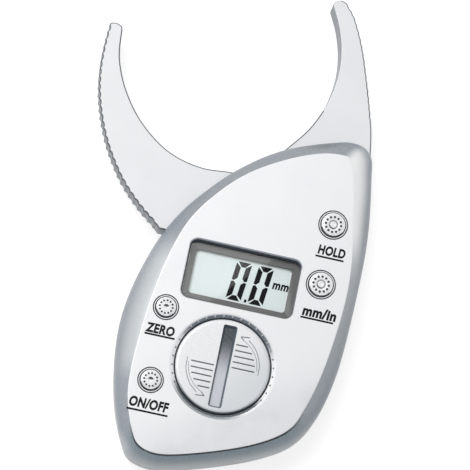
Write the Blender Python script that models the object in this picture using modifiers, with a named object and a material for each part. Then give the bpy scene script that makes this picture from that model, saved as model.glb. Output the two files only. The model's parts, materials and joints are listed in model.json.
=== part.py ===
"""Digital body fat caliper, lying on its back.

The origin is the jaw's pivot axis where it meets the surface that the caliper lies on.
+Z points out of the front face, +Y along the jaws, +X along the display. Sizes are metres.
"""
import bpy
import bmesh
import numpy as np
from math import cos, sin, tan, pi, radians, sqrt, atan2, hypot
from mathutils import Matrix

# Housing
BODY_DEPTH = 0.0200
SHELL_WALL = 0.0020
PARTING_HEIGHT = 0.0100
PARTING_GAP = 0.0003
STEPS_PER_SPAN = 3

# Clearances
SEAT_GAP = 0.0003
THIN_GAP = 0.0002
SIDE_GAP = 0.0002
PIN_GAP = 0.00008

# Jaws
JAW_THICKNESS = 0.0070
JAW_EDGE = 0.0006
JAW_SLOT_GAP = 0.0003
JAW_POINT_SPACING = 0.0035
SCALLOP_PITCH = 0.0023
SCALLOP_DEPTH = 0.0004
SCALLOP_STEPS = 3
CLOSING_ANGLE = radians(52.6)

# Pivot
PIVOT_PIN_RADIUS = 0.0025
PIVOT_BOSS_WALL = 0.0020
PIVOT_BOSS_RISE = 0.0022
PIVOT_SOCKET_FLOOR = 0.0012
PIVOT_PIN_TOP_COVER = 0.0034
THRUST_WASHER_THICKNESS = 0.0004
WAVE_WASHER_THICKNESS = 0.0005
HUB_RADIUS = 0.0115
HUB_SECTOR_RADIUS = 0.0165
HUB_SECTOR_START = radians(100)
HUB_SECTOR_END = radians(250)
FIXED_ROOT_CLEARANCE = 0.0016
PIN_CHAMFER = 0.0003
WAVES = 3

# Gearing between the jaw and the angle encoder
GEAR_MODULE = 0.0008
SECTOR_FULL_TEETH = 40
PINION_TEETH = 12
PRESSURE_ANGLE = radians(24)
TOOTH_HEIGHT = 0.80
TOOTH_DEPTH = 1.15
TOOTH_BACKLASH = 0.00012
GEAR_THICKNESS = 0.0030
MESH_ANGLE = radians(-75)
SECTOR_SPARE_TEETH = 1.6
ENCODER_AXLE_RADIUS = 0.0010
ENCODER_BOSS_WALL = 0.0014
PINION_COLLAR_RADIUS = 0.0026
PINION_COLLAR_HEIGHT = 0.0008
ENCODER_DISC_RADIUS = 0.0075
ENCODER_DISC_THICKNESS = 0.0004
ENCODER_WINDOWS = 12
ENCODER_WINDOW_LENGTH = 0.0018
ENCODER_WINDOW_WIDTH = 0.0011
SENSOR_SIZE = (0.0060, 0.0048)
SENSOR_SLOT = 0.0010
SENSOR_FOOT = 0.0009
SENSOR_BITE = 0.0019

# Circuit board
BOARD_CLEARANCE = 0.0004
BOARD_THICKNESS = 0.0010
BOARD_TOP_EDGE = 0.0090
BOARD_HOLE_GAP = 0.0007
CHIP_SIZE = (0.0070, 0.0055, 0.0012)
CHIP_PLACE = (-0.0060, -0.0670)

# Display
DISPLAY_PLACE = (-0.0037, -0.0194)
WINDOW_SIZE = (0.0326, 0.0168)
WINDOW_CORNER = 0.0022
WINDOW_THICKNESS = 0.0011
FRAME_SIZE = (0.0346, 0.0188)
FRAME_OPENING = (0.0286, 0.0132)
FRAME_LIP = 0.0010
FRAME_WALL = 0.0007
GLASS_SIZE = (0.0328, 0.0170)
GLASS_THICKNESS = 0.0015
GLASS_LEDGE = 0.0022
ZEBRA_WIDTH = 0.0016
ZEBRA_LENGTH = 0.0305

# Buttons: place, cap radius and hole radius
BUTTON_PLACES = {
    "hold": (0.0194, 0.0023),
    "unit": (0.0192, -0.0159),
    "zero": (-0.0233, -0.0322),
    "on_off": (-0.0233, -0.0538),
}
LARGE_CAP_RADIUS = 0.0036
SMALL_CAP_RADIUS = 0.0030
BUTTON_HOLE_GAP = 0.00035
CAP_RISE = 0.0007
CAP_CHAMFER = 0.0005
NUB_GROOVE_DEPTH = 0.0004
CAP_FLANGE_WIDTH = 0.0006
CAP_FLANGE_THICKNESS = 0.0008
BUTTON_TRAVEL = 0.0006
SWITCH_SIZE = 0.0045
SWITCH_BODY_HEIGHT = 0.0015
SWITCH_PLUNGER_RADIUS = 0.0010
SWITCH_FREE_GAP = 0.00015

# Battery compartment
BATTERY_PLACE = (-0.0039, -0.0454)
CELL_RADIUS = 0.0100
CELL_THICKNESS = 0.0032
CELL_SIDE_GAP = 0.0004
CELL_CHAMFER = 0.0003
CELL_POLE_STEP = 0.0012
DOOR_RADIUS = 0.0138
DOOR_SINK = 0.0005
DOOR_THICKNESS = 0.0020
DOOR_SIDE_GAP = 0.00035
DOOR_NECK_RADIUS = 0.0116
LEDGE_THICKNESS = 0.0010
LUG_THICKNESS = 0.0010
LUG_REACH = 0.0019
LUG_ANGLE = radians(28)
LUG_OPENING_ANGLE = radians(36)
DOOR_TWIST = radians(60)
WELL_WALL = 0.0016
WELL_FLOOR = 0.0010
COIN_SLOT_LENGTH = 0.0242
COIN_SLOT_WIDTH = 0.0038
COIN_SLOT_DEPTH = 0.0013
HATCH_LINES = 5
HATCH_FIRST = 0.0002
HATCH_PITCH = 0.0017
HATCH_REACH = 0.0087
HATCH_WIDTH = 0.0004
HATCH_DEPTH = 0.0003
HATCH_GAP = 0.00065
DOOR_CHAMFER = 0.0003
MOUTH_CHAMFER = 0.0005
CONTACT_THICKNESS = 0.00025
CONTACT_WIDTH = 0.0034
CONTACT_TAIL = 0.0020
CONTACT_REACH = 0.0060
NEGATIVE_ANGLE = radians(205)
POSITIVE_ANGLE = radians(155)

# Fasteners
CASE_SCREW_RADIUS = 0.0012
CASE_HEAD_RADIUS = 0.0021
CASE_HEAD_HEIGHT = 0.0016
CASE_HEAD_SINK = 0.0008
CASE_SCREW_BITE = 0.0050
CASE_BOSS_WALL = 0.0009
SCREW_HOLE_GAP = 0.0003
SCREW_PILOT_GAP = 0.00010
BOARD_SCREW_RADIUS = 0.0008
BOARD_HEAD_RADIUS = 0.0016
BOARD_HEAD_HEIGHT = 0.0010
BOARD_SCREW_BITE = 0.0030
BOARD_POST_RADIUS = 0.0019
RECESS_LENGTH = 1.1
RECESS_WIDTH = 0.28
RECESS_DEPTH = 0.6
JAW_SCREWS = ((0.0114, 0.0187), (0.0198, 0.0174))
SHELL_SCREWS = ((0.0220, -0.0315), (-0.0246, -0.0430), (-0.0158, -0.0698), (0.0118, -0.0584))
BOARD_SCREWS = ((0.0240, -0.0066), (-0.0250, -0.0212), (-0.0212, -0.0636), (0.0192, -0.0470))

# Outline of the housing, anticlockwise from the top of the jaw slot. Each row is the widest
# line's point and the point of the face's edge that lies beside it.
HOUSING = (
    (-0.0101, 0.0148, -0.0082, 0.0123),
    (-0.0184, 0.0061, -0.0158, 0.0040),
    (-0.0254, -0.0034, -0.0223, -0.0052),
    (-0.0313, -0.0169, -0.0261, -0.0184),
    (-0.0352, -0.0375, -0.0289, -0.0374),
    (-0.0323, -0.0591, -0.0290, -0.0584),
    (-0.0274, -0.0716, -0.0249, -0.0701),
    (-0.0245, -0.0756, -0.0226, -0.0728),
    (-0.0182, -0.0772, -0.0179, -0.0740),
    (-0.0126, -0.0765, -0.0122, -0.0732),
    (0.0108, -0.0685, 0.0095, -0.0655),
    (0.0213, -0.0619, 0.0180, -0.0588),
    (0.0257, -0.0545, 0.0213, -0.0525),
    (0.0293, -0.0410, 0.0245, -0.0402),
    (0.0310, -0.0155, 0.0271, -0.0155),
    (0.0309, 0.0031, 0.0256, 0.0023),
    (0.0287, 0.0205, 0.0227, 0.0187),
    (0.0275, 0.0266, 0.0216, 0.0218),
    (0.0248, 0.0293, 0.0202, 0.0235),
    (0.0208, 0.0299, 0.0178, 0.0241),
    (0.0160, 0.0288, 0.0135, 0.0236),
    (0.0011, 0.0229, 0.0026, 0.0193),
)
# Share of the height from the shell's mouth to its face, and share of the way from the widest
# line to the face's edge, of each ring of the skin and of the room inside it
FRONT_PROFILE = ((0.0, 0.03), (0.30, 0.0), (0.56, 0.12), (0.76, 0.38), (0.90, 0.72), (0.975, 0.97),
                 (1.0, 1.08))
FRONT_ROOM = ((0.0, 0.03), (0.36, 0.02), (0.70, 0.28), (1.0, 1.05))
BACK_PROFILE = ((0.0, 0.03), (0.30, 0.02), (0.60, 0.14), (0.80, 0.34), (0.93, 0.62), (1.0, 0.86))
BACK_ROOM = ((0.0, 0.03), (0.45, 0.06), (0.80, 0.34), (1.0, 0.80))
BOARD_INSET_SHARE = 0.95

# Jaws, at rest (fully open). Edges run from the tip to the root.
MOVING_INNER = (
    (-0.0529, 0.0490), (-0.0523, 0.0425), (-0.0512, 0.0382), (-0.0479, 0.0310),
    (-0.0416, 0.0227), (-0.0320, 0.0156), (-0.0217, 0.0129), (-0.0115, 0.0135), (-0.0060, 0.0130),
)
MOVING_OUTER = (
    (-0.0571, 0.0498), (-0.0574, 0.0448), (-0.0572, 0.0368), (-0.0560, 0.0291),
    (-0.0532, 0.0203), (-0.0494, 0.0124), (-0.0438, 0.0042), (-0.0373, -0.0024), (-0.0298, -0.0081),
)
MOVING_TIP = ((-0.0562, 0.0508), (-0.0542, 0.0506))
MOVING_ROOT = ((-0.0270, -0.0082), (-0.0230, -0.0096), (-0.0150, -0.0110), (-0.0060, -0.0060))
FIXED_INNER = (
    (0.0080, 0.0702), (0.0102, 0.0656), (0.0123, 0.0586), (0.0130, 0.0514), (0.0124, 0.0452),
    (0.0109, 0.0391), (0.0077, 0.0319), (0.0033, 0.0257), (0.0011, 0.0229),
)
FIXED_OUTER = (
    (0.0118, 0.0726), (0.0142, 0.0697), (0.0162, 0.0660), (0.0189, 0.0597), (0.0213, 0.0525),
    (0.0236, 0.0449), (0.0261, 0.0353), (0.0274, 0.0271),
)
FIXED_TIP = ((0.0092, 0.0735), (0.0075, 0.0717))
FIXED_ROOT_SIDE = ((0.0254, 0.0240), (0.0262, 0.0180), (0.0266, 0.0120))
FIXED_ROOT_ARC = (radians(30), radians(72))
JAW_SLOT_ARC = (radians(84), radians(199.5))
FIXED_SLOT = (
    (0.0005, 0.0180), (0.0005, 0.0230), (0.0030, 0.0270), (0.0060, 0.0330),
    (0.0300, 0.0330), (0.02775, 0.0273), (0.0260, 0.0236), (0.0240, 0.0180),
)

# Heights that follow from the sizes above
FACE_INSIDE = BODY_DEPTH - SHELL_WALL
PIVOT_BOSS_TOP = SHELL_WALL + PIVOT_BOSS_RISE
THRUST_WASHER_Z = PIVOT_BOSS_TOP + SEAT_GAP
JAW_BOTTOM = THRUST_WASHER_Z + THRUST_WASHER_THICKNESS + SEAT_GAP
JAW_TOP = JAW_BOTTOM + JAW_THICKNESS
WAVE_WASHER_Z = JAW_TOP + SEAT_GAP
PIVOT_POST_BOTTOM = WAVE_WASHER_Z + WAVE_WASHER_THICKNESS + SEAT_GAP
BOARD_BOTTOM = JAW_TOP + BOARD_CLEARANCE
BOARD_TOP = BOARD_BOTTOM + BOARD_THICKNESS
FRAME_TOP = FACE_INSIDE - SEAT_GAP
WINDOW_BOTTOM = FRAME_TOP + SEAT_GAP
GLASS_TOP = FRAME_TOP - FRAME_LIP - THIN_GAP
GLASS_BOTTOM = GLASS_TOP - GLASS_THICKNESS
DOOR_TOP = BODY_DEPTH - DOOR_SINK
DOOR_BOTTOM = DOOR_TOP - DOOR_THICKNESS
LEDGE_TOP = DOOR_BOTTOM - SEAT_GAP
LEDGE_BOTTOM = LEDGE_TOP - LEDGE_THICKNESS
LUG_TOP = LEDGE_BOTTOM - SEAT_GAP
LUG_BOTTOM = LUG_TOP - LUG_THICKNESS
CELL_TOP = LUG_BOTTOM - SEAT_GAP
CELL_BOTTOM = CELL_TOP - CELL_THICKNESS
CONTACT_Z = CELL_BOTTOM - THIN_GAP - CONTACT_THICKNESS
WELL_INSIDE = CONTACT_Z - THIN_GAP
WELL_BOTTOM = WELL_INSIDE - WELL_FLOOR
LUG_ROOM_RADIUS = DOOR_NECK_RADIUS + LUG_REACH + DOOR_SIDE_GAP
WELL_RADIUS = DOOR_RADIUS + DOOR_SIDE_GAP + WELL_WALL
CELL_ROOM_RADIUS = CELL_RADIUS + CELL_SIDE_GAP
CASE_BOSS_RADIUS = CASE_HEAD_RADIUS + SCREW_HOLE_GAP + CASE_BOSS_WALL
CASE_HEAD_SEAT = CASE_HEAD_SINK + CASE_HEAD_HEIGHT + THIN_GAP
SECTOR_PITCH_RADIUS = GEAR_MODULE * SECTOR_FULL_TEETH / 2
PINION_PITCH_RADIUS = GEAR_MODULE * PINION_TEETH / 2
MESH_DISTANCE = SECTOR_PITCH_RADIUS + PINION_PITCH_RADIUS
ENCODER_PLACE = (MESH_DISTANCE * cos(MESH_ANGLE), MESH_DISTANCE * sin(MESH_ANGLE))
ENCODER_DISC_Z = JAW_BOTTOM + GEAR_THICKNESS + PINION_COLLAR_HEIGHT + SEAT_GAP


def start_scene():
    """Empty the scene and make one collection for the pieces and one for the cutters."""
    for old in list(bpy.data.objects):
        bpy.data.objects.remove(old, do_unlink=True)
    parts = bpy.data.collections.new("body_fat_caliper")
    cutters = bpy.data.collections.new("cutters")
    bpy.context.scene.collection.children.link(parts)
    bpy.context.scene.collection.children.link(cutters)
    return parts, cutters


PARTS, CUTTERS = start_scene()


def material(name, colour, roughness, metallic=0.0, alpha=1.0):
    """A plain Principled material."""
    made = bpy.data.materials.new(name)
    made.use_nodes = True
    shader = made.node_tree.nodes["Principled BSDF"]
    shader.inputs["Base Color"].default_value = (*colour, 1.0)
    shader.inputs["Roughness"].default_value = roughness
    shader.inputs["Metallic"].default_value = metallic
    shader.inputs["Alpha"].default_value = alpha
    return made


MATERIALS = {
    "silver_plastic": material("silver_plastic", (0.83, 0.84, 0.86), 0.38),
    "jaw_plastic": material("jaw_plastic", (0.78, 0.79, 0.82), 0.35),
    "grey_plastic": material("grey_plastic", (0.24, 0.24, 0.25), 0.45),
    "clear_plastic": material("clear_plastic", (0.90, 0.93, 0.93), 0.05, alpha=0.25),
    "display_glass": material("display_glass", (0.70, 0.78, 0.77), 0.20),
    "button_silver": material("button_silver", (0.85, 0.86, 0.88), 0.20, metallic=0.6),
    "steel": material("steel", (0.62, 0.63, 0.65), 0.25, metallic=1.0),
    "spring_metal": material("spring_metal", (0.72, 0.66, 0.50), 0.30, metallic=1.0),
    "board_green": material("board_green", (0.05, 0.22, 0.10), 0.50),
    "black_plastic": material("black_plastic", (0.03, 0.03, 0.03), 0.50),
    "gear_plastic": material("gear_plastic", (0.80, 0.79, 0.74), 0.45),
    "zebra_rubber": material("zebra_rubber", (0.25, 0.24, 0.24), 0.70),
}


def shade(mesh, angle=35):
    """Smooth shading with the real edges kept sharp."""
    mesh.shade_smooth()
    mesh.set_sharp_from_angle(angle=radians(angle))


def add_object(name, bm, finish=None):
    """Turn a bmesh into an object: a piece if it has a finish, and otherwise a cutter."""
    mesh = bpy.data.meshes.new(name)
    bm.to_mesh(mesh)
    bm.free()
    made = bpy.data.objects.new(name, mesh)
    if finish:
        mesh.materials.append(MATERIALS[finish])
        shade(mesh)
        PARTS.objects.link(made)
    else:
        made.hide_render = True
        made.display_type = "WIRE"
        CUTTERS.objects.link(made)
    return made


def boolean(target, tool, operation="DIFFERENCE"):
    """Cut the tool out of the target, or join it on."""
    step = target.modifiers.new(tool.name, "BOOLEAN")
    step.operation = operation
    step.solver = "EXACT"
    step.object = tool


def frozen(source, name, finish):
    """The evaluated mesh of a piece or cutter as a new piece, without the old object."""
    graph = bpy.context.evaluated_depsgraph_get()
    mesh = bpy.data.meshes.new_from_object(source.evaluated_get(graph))
    mesh.name = name
    mesh.materials.clear()
    mesh.materials.append(MATERIALS[finish])
    shade(mesh)
    made = bpy.data.objects.new(name, mesh)
    PARTS.objects.link(made)
    bpy.data.objects.remove(source, do_unlink=True)
    return made


def copy_of(source, name, place):
    """A copy that shares the mesh, moved by a place in X and Y."""
    made = bpy.data.objects.new(name, source.data)
    made.location = (place[0], place[1], source.location.z)
    PARTS.objects.link(made)
    return made


def cylinder(bm, radius, bottom, top, place=(0, 0), segments=24):
    """Add an upright cylinder to a bmesh."""
    middle = Matrix.Translation((place[0], place[1], (bottom + top) / 2))
    bmesh.ops.create_cone(bm, cap_ends=True, segments=segments, radius1=radius, radius2=radius,
                          depth=top - bottom, matrix=middle)


def box(bm, size, bottom, top, place=(0, 0), turn=0.0):
    """Add an upright box to a bmesh, turned about its own middle."""
    middle = Matrix.Translation((place[0], place[1], (bottom + top) / 2))
    scale = Matrix.Diagonal((size[0], size[1], top - bottom, 1.0))
    bmesh.ops.create_cube(bm, size=1.0, matrix=middle @ Matrix.Rotation(turn, 4, "Z") @ scale)


def loft(bm, rings, first_cap=True, last_cap=True):
    """Skin a list of rings with equal numbers of points. Rings run anticlockwise and upwards."""
    made = [[bm.verts.new(point) for point in ring] for ring in rings]
    count = len(made[0])
    for low, high in zip(made, made[1:]):
        for i in range(count):
            after = (i + 1) % count
            bm.faces.new((low[i], low[after], high[after], high[i]))
    if first_cap:
        bm.faces.new(list(reversed(made[0])))
    if last_cap:
        bm.faces.new(made[-1])


def prism(bm, outline, bottom, top):
    """Add a flat outline with a thickness."""
    loft(bm, [[(x, y, bottom) for x, y in outline], [(x, y, top) for x, y in outline]])


def rounded_rectangle(size, corner, place, steps=4):
    """Outline of a rectangle with round corners, anticlockwise."""
    points = []
    for quarter, (sx, sy) in enumerate(((1, 1), (-1, 1), (-1, -1), (1, -1))):
        for step in range(steps + 1):
            angle = (quarter + step / steps) * pi / 2
            x = place[0] + sx * (size[0] / 2 - corner) + corner * cos(angle)
            y = place[1] + sy * (size[1] / 2 - corner) + corner * sin(angle)
            points.append((x, y))
    return points


def arc(radius, start, end, steps):
    """Points on a circle round the pivot."""
    angles = [start + (end - start) * i / steps for i in range(steps + 1)]
    return [(radius * cos(a), radius * sin(a)) for a in angles]


def smooth_path(points, count=None, spacing=None, per_span=12, closed=False):
    """Points on a smooth curve through the given ones.

    They are evenly spaced if a count or a spacing is given, and otherwise each span between
    two given points has as many as per_span says.
    """
    given = np.array(points, dtype=float)
    if closed:
        guides = np.vstack([given[-1:], given, given[:2]])
    else:
        guides = np.vstack([2 * given[:1] - given[1:2], given, 2 * given[-1:] - given[-2:-1]])
    dense = []
    for i in range(len(guides) - 3):
        p0, p1, p2, p3 = guides[i:i + 4]
        chords = [sqrt(max(hypot(*(b - a)[:2]), 1e-9)) for a, b in ((p0, p1), (p1, p2), (p2, p3))]
        t1 = chords[0]
        t2 = t1 + chords[1]
        t3 = t2 + chords[2]
        for t in np.linspace(t1, t2, per_span, endpoint=False):
            a1 = p0 * (t1 - t) / t1 + p1 * t / t1
            a2 = p1 * (t2 - t) / (t2 - t1) + p2 * (t - t1) / (t2 - t1)
            a3 = p2 * (t3 - t) / (t3 - t2) + p3 * (t - t2) / (t3 - t2)
            b1 = a1 * (t2 - t) / t2 + a2 * t / t2
            b2 = a2 * (t3 - t) / (t3 - t1) + a3 * (t - t1) / (t3 - t1)
            dense.append(b1 * (t2 - t) / (t2 - t1) + b2 * (t - t1) / (t2 - t1))
    if closed and count is None and spacing is None:
        return np.array(dense)
    dense.append(given[0] if closed else given[-1])
    dense = np.array(dense)
    steps = np.hypot(*np.diff(dense[:, :2], axis=0).T)
    along = np.concatenate([[0.0], np.cumsum(steps)])
    if count is None:
        count = max(2, round(along[-1] / spacing)) + 1
    wanted = np.linspace(0.0, along[-1], count + 1 if closed else count)
    if closed:
        wanted = wanted[:-1]
    return np.stack([np.interp(wanted, along, column) for column in dense.T], axis=1)


def outward(path, closed=True):
    """Unit normals on the right-hand side of a path, which is outside an anticlockwise loop."""
    if closed:
        tangent = np.roll(path, -1, axis=0) - np.roll(path, 1, axis=0)
    else:
        tangent = np.gradient(path, axis=0)
    length = np.hypot(tangent[:, 0], tangent[:, 1])[:, None]
    return np.stack([tangent[:, 1], -tangent[:, 0]], axis=1) / length


HOUSING_LOOP = smooth_path(HOUSING, per_span=STEPS_PER_SPAN, closed=True)


def housing_ring(share, height, inset=0.0):
    """The housing's outline, moved a share of the way from the widest line to the face's edge.

    An inset moves it inwards too, by half as much at the face, where the wall leans over.
    """
    widest = HOUSING_LOOP[:, :2]
    face = HOUSING_LOOP[:, 2:]
    widest = widest - outward(widest) * inset
    face = face - outward(face) * inset / 2
    flat = widest * (1 - share) + face * share
    return [(x, y, height) for x, y in flat]


def screw_turned(name, profile, steps, finish=None, place=(0, 0)):
    """Turn a profile of (radius, height) pairs, which runs down its outer side, round Z."""
    bm = bmesh.new()
    points = [bm.verts.new((radius, 0, height)) for radius, height in profile]
    for a, b in zip(points, points[1:]):
        bm.edges.new((a, b))
    if profile[0][0] > 0:
        bm.edges.new((points[-1], points[0]))
    made = add_object(name, bm, finish)
    turn = made.modifiers.new("turn", "SCREW")
    turn.axis = "Z"
    turn.angle = 2 * pi
    turn.steps = steps
    turn.render_steps = steps
    turn.use_merge_vertices = True
    turn.merge_threshold = 0.00001
    turn.use_smooth_shade = True
    made.location = (place[0], place[1], 0)
    return made


def housing_loft(name, profile, mouth, end, inset=0.0, overshoot=0.0, finish=None):
    """A solid of the housing's outline, from a shell's mouth to its face."""
    bm = bmesh.new()
    rise = end - mouth
    rings = [housing_ring(share, mouth + rise * part, inset) for part, share in profile]
    if overshoot:
        rings.insert(0, housing_ring(profile[0][1], mouth - rise * overshoot, inset))
    loft(bm, rings if rise > 0 else rings[::-1])
    return add_object(name, bm, finish)


def moulded_shell(name, skin, room, mouth, outside, inside, posts):
    """A shell: the skin's loft without the room's, joined to the posts, which stop in its wall."""
    shell = housing_loft(name, skin, mouth, outside, finish="silver_plastic")
    boolean(shell, housing_loft(name + "_room", room, mouth, inside, SHELL_WALL, 0.25))
    limit = housing_loft(name + "_limit", skin, mouth, (outside + inside) / 2, SHELL_WALL / 2, 1.0)
    boolean(posts, limit, "INTERSECT")
    boolean(shell, posts, "UNION")
    return shell


def jaw_slot_cutter(bm):
    """The band between the shells that both jaws come out through."""
    low = JAW_BOTTOM - JAW_SLOT_GAP
    high = JAW_TOP + JAW_SLOT_GAP
    reach = hypot(*MOVING_INNER[0])
    start, end = JAW_SLOT_ARC
    sweep = arc(HUB_RADIUS, end, start, 8) + arc(reach, start, end, 8)
    prism(bm, sweep, low, high)


def fixed_slot_cutter(bm):
    """The notch over and under the fixed jaw."""
    prism(bm, list(reversed(FIXED_SLOT)), JAW_BOTTOM - JAW_SLOT_GAP, JAW_TOP + JAW_SLOT_GAP)


def button_radius(key):
    """Cap radius of a button."""
    return LARGE_CAP_RADIUS if key in ("hold", "unit") else SMALL_CAP_RADIUS


def make_front_shell():
    """Front half: lofted skin with posts, display opening, button holes and battery well."""
    foot = PARTING_HEIGHT + PARTING_GAP / 2

    posts = bmesh.new()
    root = BODY_DEPTH
    cylinder(posts, PIVOT_PIN_RADIUS + PIVOT_BOSS_WALL, PIVOT_POST_BOTTOM, root)
    for place in JAW_SCREWS:
        cylinder(posts, CASE_BOSS_RADIUS, JAW_TOP + SEAT_GAP, root, place, 16)
    for place in SHELL_SCREWS:
        cylinder(posts, CASE_BOSS_RADIUS, foot, root, place, 16)
    for place in BOARD_SCREWS:
        cylinder(posts, BOARD_POST_RADIUS, BOARD_TOP + THIN_GAP, root, place, 12)
    cylinder(posts, WELL_RADIUS, WELL_BOTTOM, root, BATTERY_PLACE, 40)
    shell = moulded_shell("front_shell", FRONT_PROFILE, FRONT_ROOM, foot, BODY_DEPTH, FACE_INSIDE,
                          add_object("front_posts", posts))

    mouth = DOOR_RADIUS + DOOR_SIDE_GAP
    neck = DOOR_NECK_RADIUS + DOOR_SIDE_GAP
    well = ((0, BODY_DEPTH + MOUTH_CHAMFER), (mouth + 2 * MOUTH_CHAMFER, BODY_DEPTH + MOUTH_CHAMFER),
            (mouth, BODY_DEPTH - MOUTH_CHAMFER), (mouth, LEDGE_TOP),
            (neck, LEDGE_TOP), (neck, LEDGE_BOTTOM),
            (LUG_ROOM_RADIUS, LEDGE_BOTTOM), (LUG_ROOM_RADIUS, CELL_TOP), (CELL_ROOM_RADIUS, CELL_TOP),
            (CELL_ROOM_RADIUS, WELL_INSIDE), (0, WELL_INSIDE))
    boolean(shell, screw_turned("well_room", well, 40, place=BATTERY_PLACE))

    holes = bmesh.new()
    opening = (WINDOW_SIZE[0] + 2 * SIDE_GAP, WINDOW_SIZE[1] + 2 * SIDE_GAP)
    prism(holes, rounded_rectangle(opening, WINDOW_CORNER + SIDE_GAP, DISPLAY_PLACE),
          FACE_INSIDE - SHELL_WALL, BODY_DEPTH + SHELL_WALL)
    for key, place in BUTTON_PLACES.items():
        hole = button_radius(key) + BUTTON_HOLE_GAP
        cylinder(holes, hole, FACE_INSIDE - SHELL_WALL, BODY_DEPTH + SHELL_WALL, place, 28)
    bore = PIVOT_PIN_RADIUS + PIN_GAP
    cylinder(holes, bore, PIVOT_POST_BOTTOM - SHELL_WALL, BODY_DEPTH - PIVOT_PIN_TOP_COVER + SEAT_GAP)
    pilot = CASE_SCREW_RADIUS + SCREW_PILOT_GAP
    for place in JAW_SCREWS:
        cylinder(holes, pilot, JAW_TOP, JAW_TOP + SEAT_GAP * 2 + CASE_SCREW_BITE, place, 12)
    for place in SHELL_SCREWS:
        cylinder(holes, pilot, foot - SHELL_WALL, foot + SEAT_GAP + CASE_SCREW_BITE, place, 12)
    pilot = BOARD_SCREW_RADIUS + SCREW_PILOT_GAP
    for place in BOARD_SCREWS:
        cylinder(holes, pilot, BOARD_BOTTOM, BOARD_TOP + SEAT_GAP * 2 + BOARD_SCREW_BITE, place, 8)
    boolean(shell, add_object("front_holes", holes))

    notches = bmesh.new()
    for side in (0, pi):
        spread = LUG_OPENING_ANGLE / 2
        middle = DOOR_TWIST + side
        wedge = arc(DOOR_NECK_RADIUS - LUG_REACH, middle + spread, middle - spread, 4)
        wedge += arc(LUG_ROOM_RADIUS, middle - spread, middle + spread, 6)
        prism(notches, [(x + BATTERY_PLACE[0], y + BATTERY_PLACE[1]) for x, y in wedge],
              LEDGE_BOTTOM - SEAT_GAP, LEDGE_TOP + SEAT_GAP)
    boolean(shell, add_object("lug_notches", notches))

    slits = bmesh.new()
    for contact in contact_paths().values():
        width = CONTACT_WIDTH + 2 * THIN_GAP
        low = contact["slit"][0]
        high = contact["slit"][1]
        reach = WELL_RADIUS + SHELL_WALL - contact["pocket"]
        middle = contact["pocket"] + reach / 2
        turn = contact["angle"]
        place = (BATTERY_PLACE[0] + middle * cos(turn), BATTERY_PLACE[1] + middle * sin(turn))
        box(slits, (reach, width), low, high, place, turn)
    boolean(shell, add_object("contact_slits", slits))

    slot = bmesh.new()
    jaw_slot_cutter(slot)
    boolean(shell, add_object("front_jaw_slot", slot))
    notch = bmesh.new()
    fixed_slot_cutter(notch)
    boolean(shell, add_object("front_fixed_slot", notch))
    return shell


def make_back_shell():
    """Back half: lofted skin with a pivot boss, screw bosses and the encoder's boss."""
    foot = PARTING_HEIGHT - PARTING_GAP / 2

    bosses = bmesh.new()
    root = 0.0
    cylinder(bosses, PIVOT_PIN_RADIUS + PIVOT_BOSS_WALL, root, PIVOT_BOSS_TOP)
    cylinder(bosses, ENCODER_AXLE_RADIUS + ENCODER_BOSS_WALL, root, JAW_BOTTOM - SEAT_GAP,
             ENCODER_PLACE, 20)
    for place in JAW_SCREWS:
        cylinder(bosses, CASE_BOSS_RADIUS, root, JAW_BOTTOM - SEAT_GAP, place, 16)
    for place in SHELL_SCREWS:
        cylinder(bosses, CASE_BOSS_RADIUS, root, foot, place, 16)
    shell = moulded_shell("back_shell", BACK_PROFILE, BACK_ROOM, foot, 0.0, SHELL_WALL,
                          add_object("back_bosses", bosses))

    holes = bmesh.new()
    cylinder(holes, PIVOT_PIN_RADIUS + PIN_GAP, PIVOT_SOCKET_FLOOR, PIVOT_BOSS_TOP + SHELL_WALL)
    cylinder(holes, ENCODER_AXLE_RADIUS + PIN_GAP, PIVOT_SOCKET_FLOOR, JAW_BOTTOM + SEAT_GAP,
             ENCODER_PLACE, 16)
    for place in JAW_SCREWS + SHELL_SCREWS:
        cylinder(holes, CASE_HEAD_RADIUS + SCREW_HOLE_GAP, -SHELL_WALL, CASE_HEAD_SEAT, place, 20)
    boolean(shell, add_object("back_holes", holes))
    shanks = bmesh.new()
    for place in JAW_SCREWS + SHELL_SCREWS:
        cylinder(shanks, CASE_SCREW_RADIUS + SCREW_HOLE_GAP, SHELL_WALL / 2,
                 PARTING_HEIGHT + SHELL_WALL, place, 12)
    boolean(shell, add_object("back_shanks", shanks))

    slot = bmesh.new()
    jaw_slot_cutter(slot)
    boolean(shell, add_object("back_jaw_slot", slot))
    notch = bmesh.new()
    fixed_slot_cutter(notch)
    boolean(shell, add_object("back_fixed_slot", notch))
    return shell


def scalloped(path_points, outside):
    """A jaw's outer edge with shallow finger scallops, all of one pitch."""
    rough = smooth_path(path_points, spacing=SCALLOP_PITCH / SCALLOP_STEPS)
    count = (len(rough) - 1) // SCALLOP_STEPS * SCALLOP_STEPS + 1
    path = smooth_path(path_points, count=count)
    bumps = np.array([SCALLOP_DEPTH * abs(sin(pi * i / SCALLOP_STEPS)) for i in range(count)])
    return path + outside * outward(path, closed=False) * bumps[:, None]


def bevelled_plate(bm, outline, bottom, top, edge):
    """A flat outline with a thickness and a small chamfer round both faces."""
    flat = np.array(outline)
    inside = flat - outward(flat) * edge
    loft(bm, [[(x, y, bottom) for x, y in inside], [(x, y, bottom + edge) for x, y in flat],
              [(x, y, top - edge) for x, y in flat], [(x, y, top) for x, y in inside]])


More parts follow.
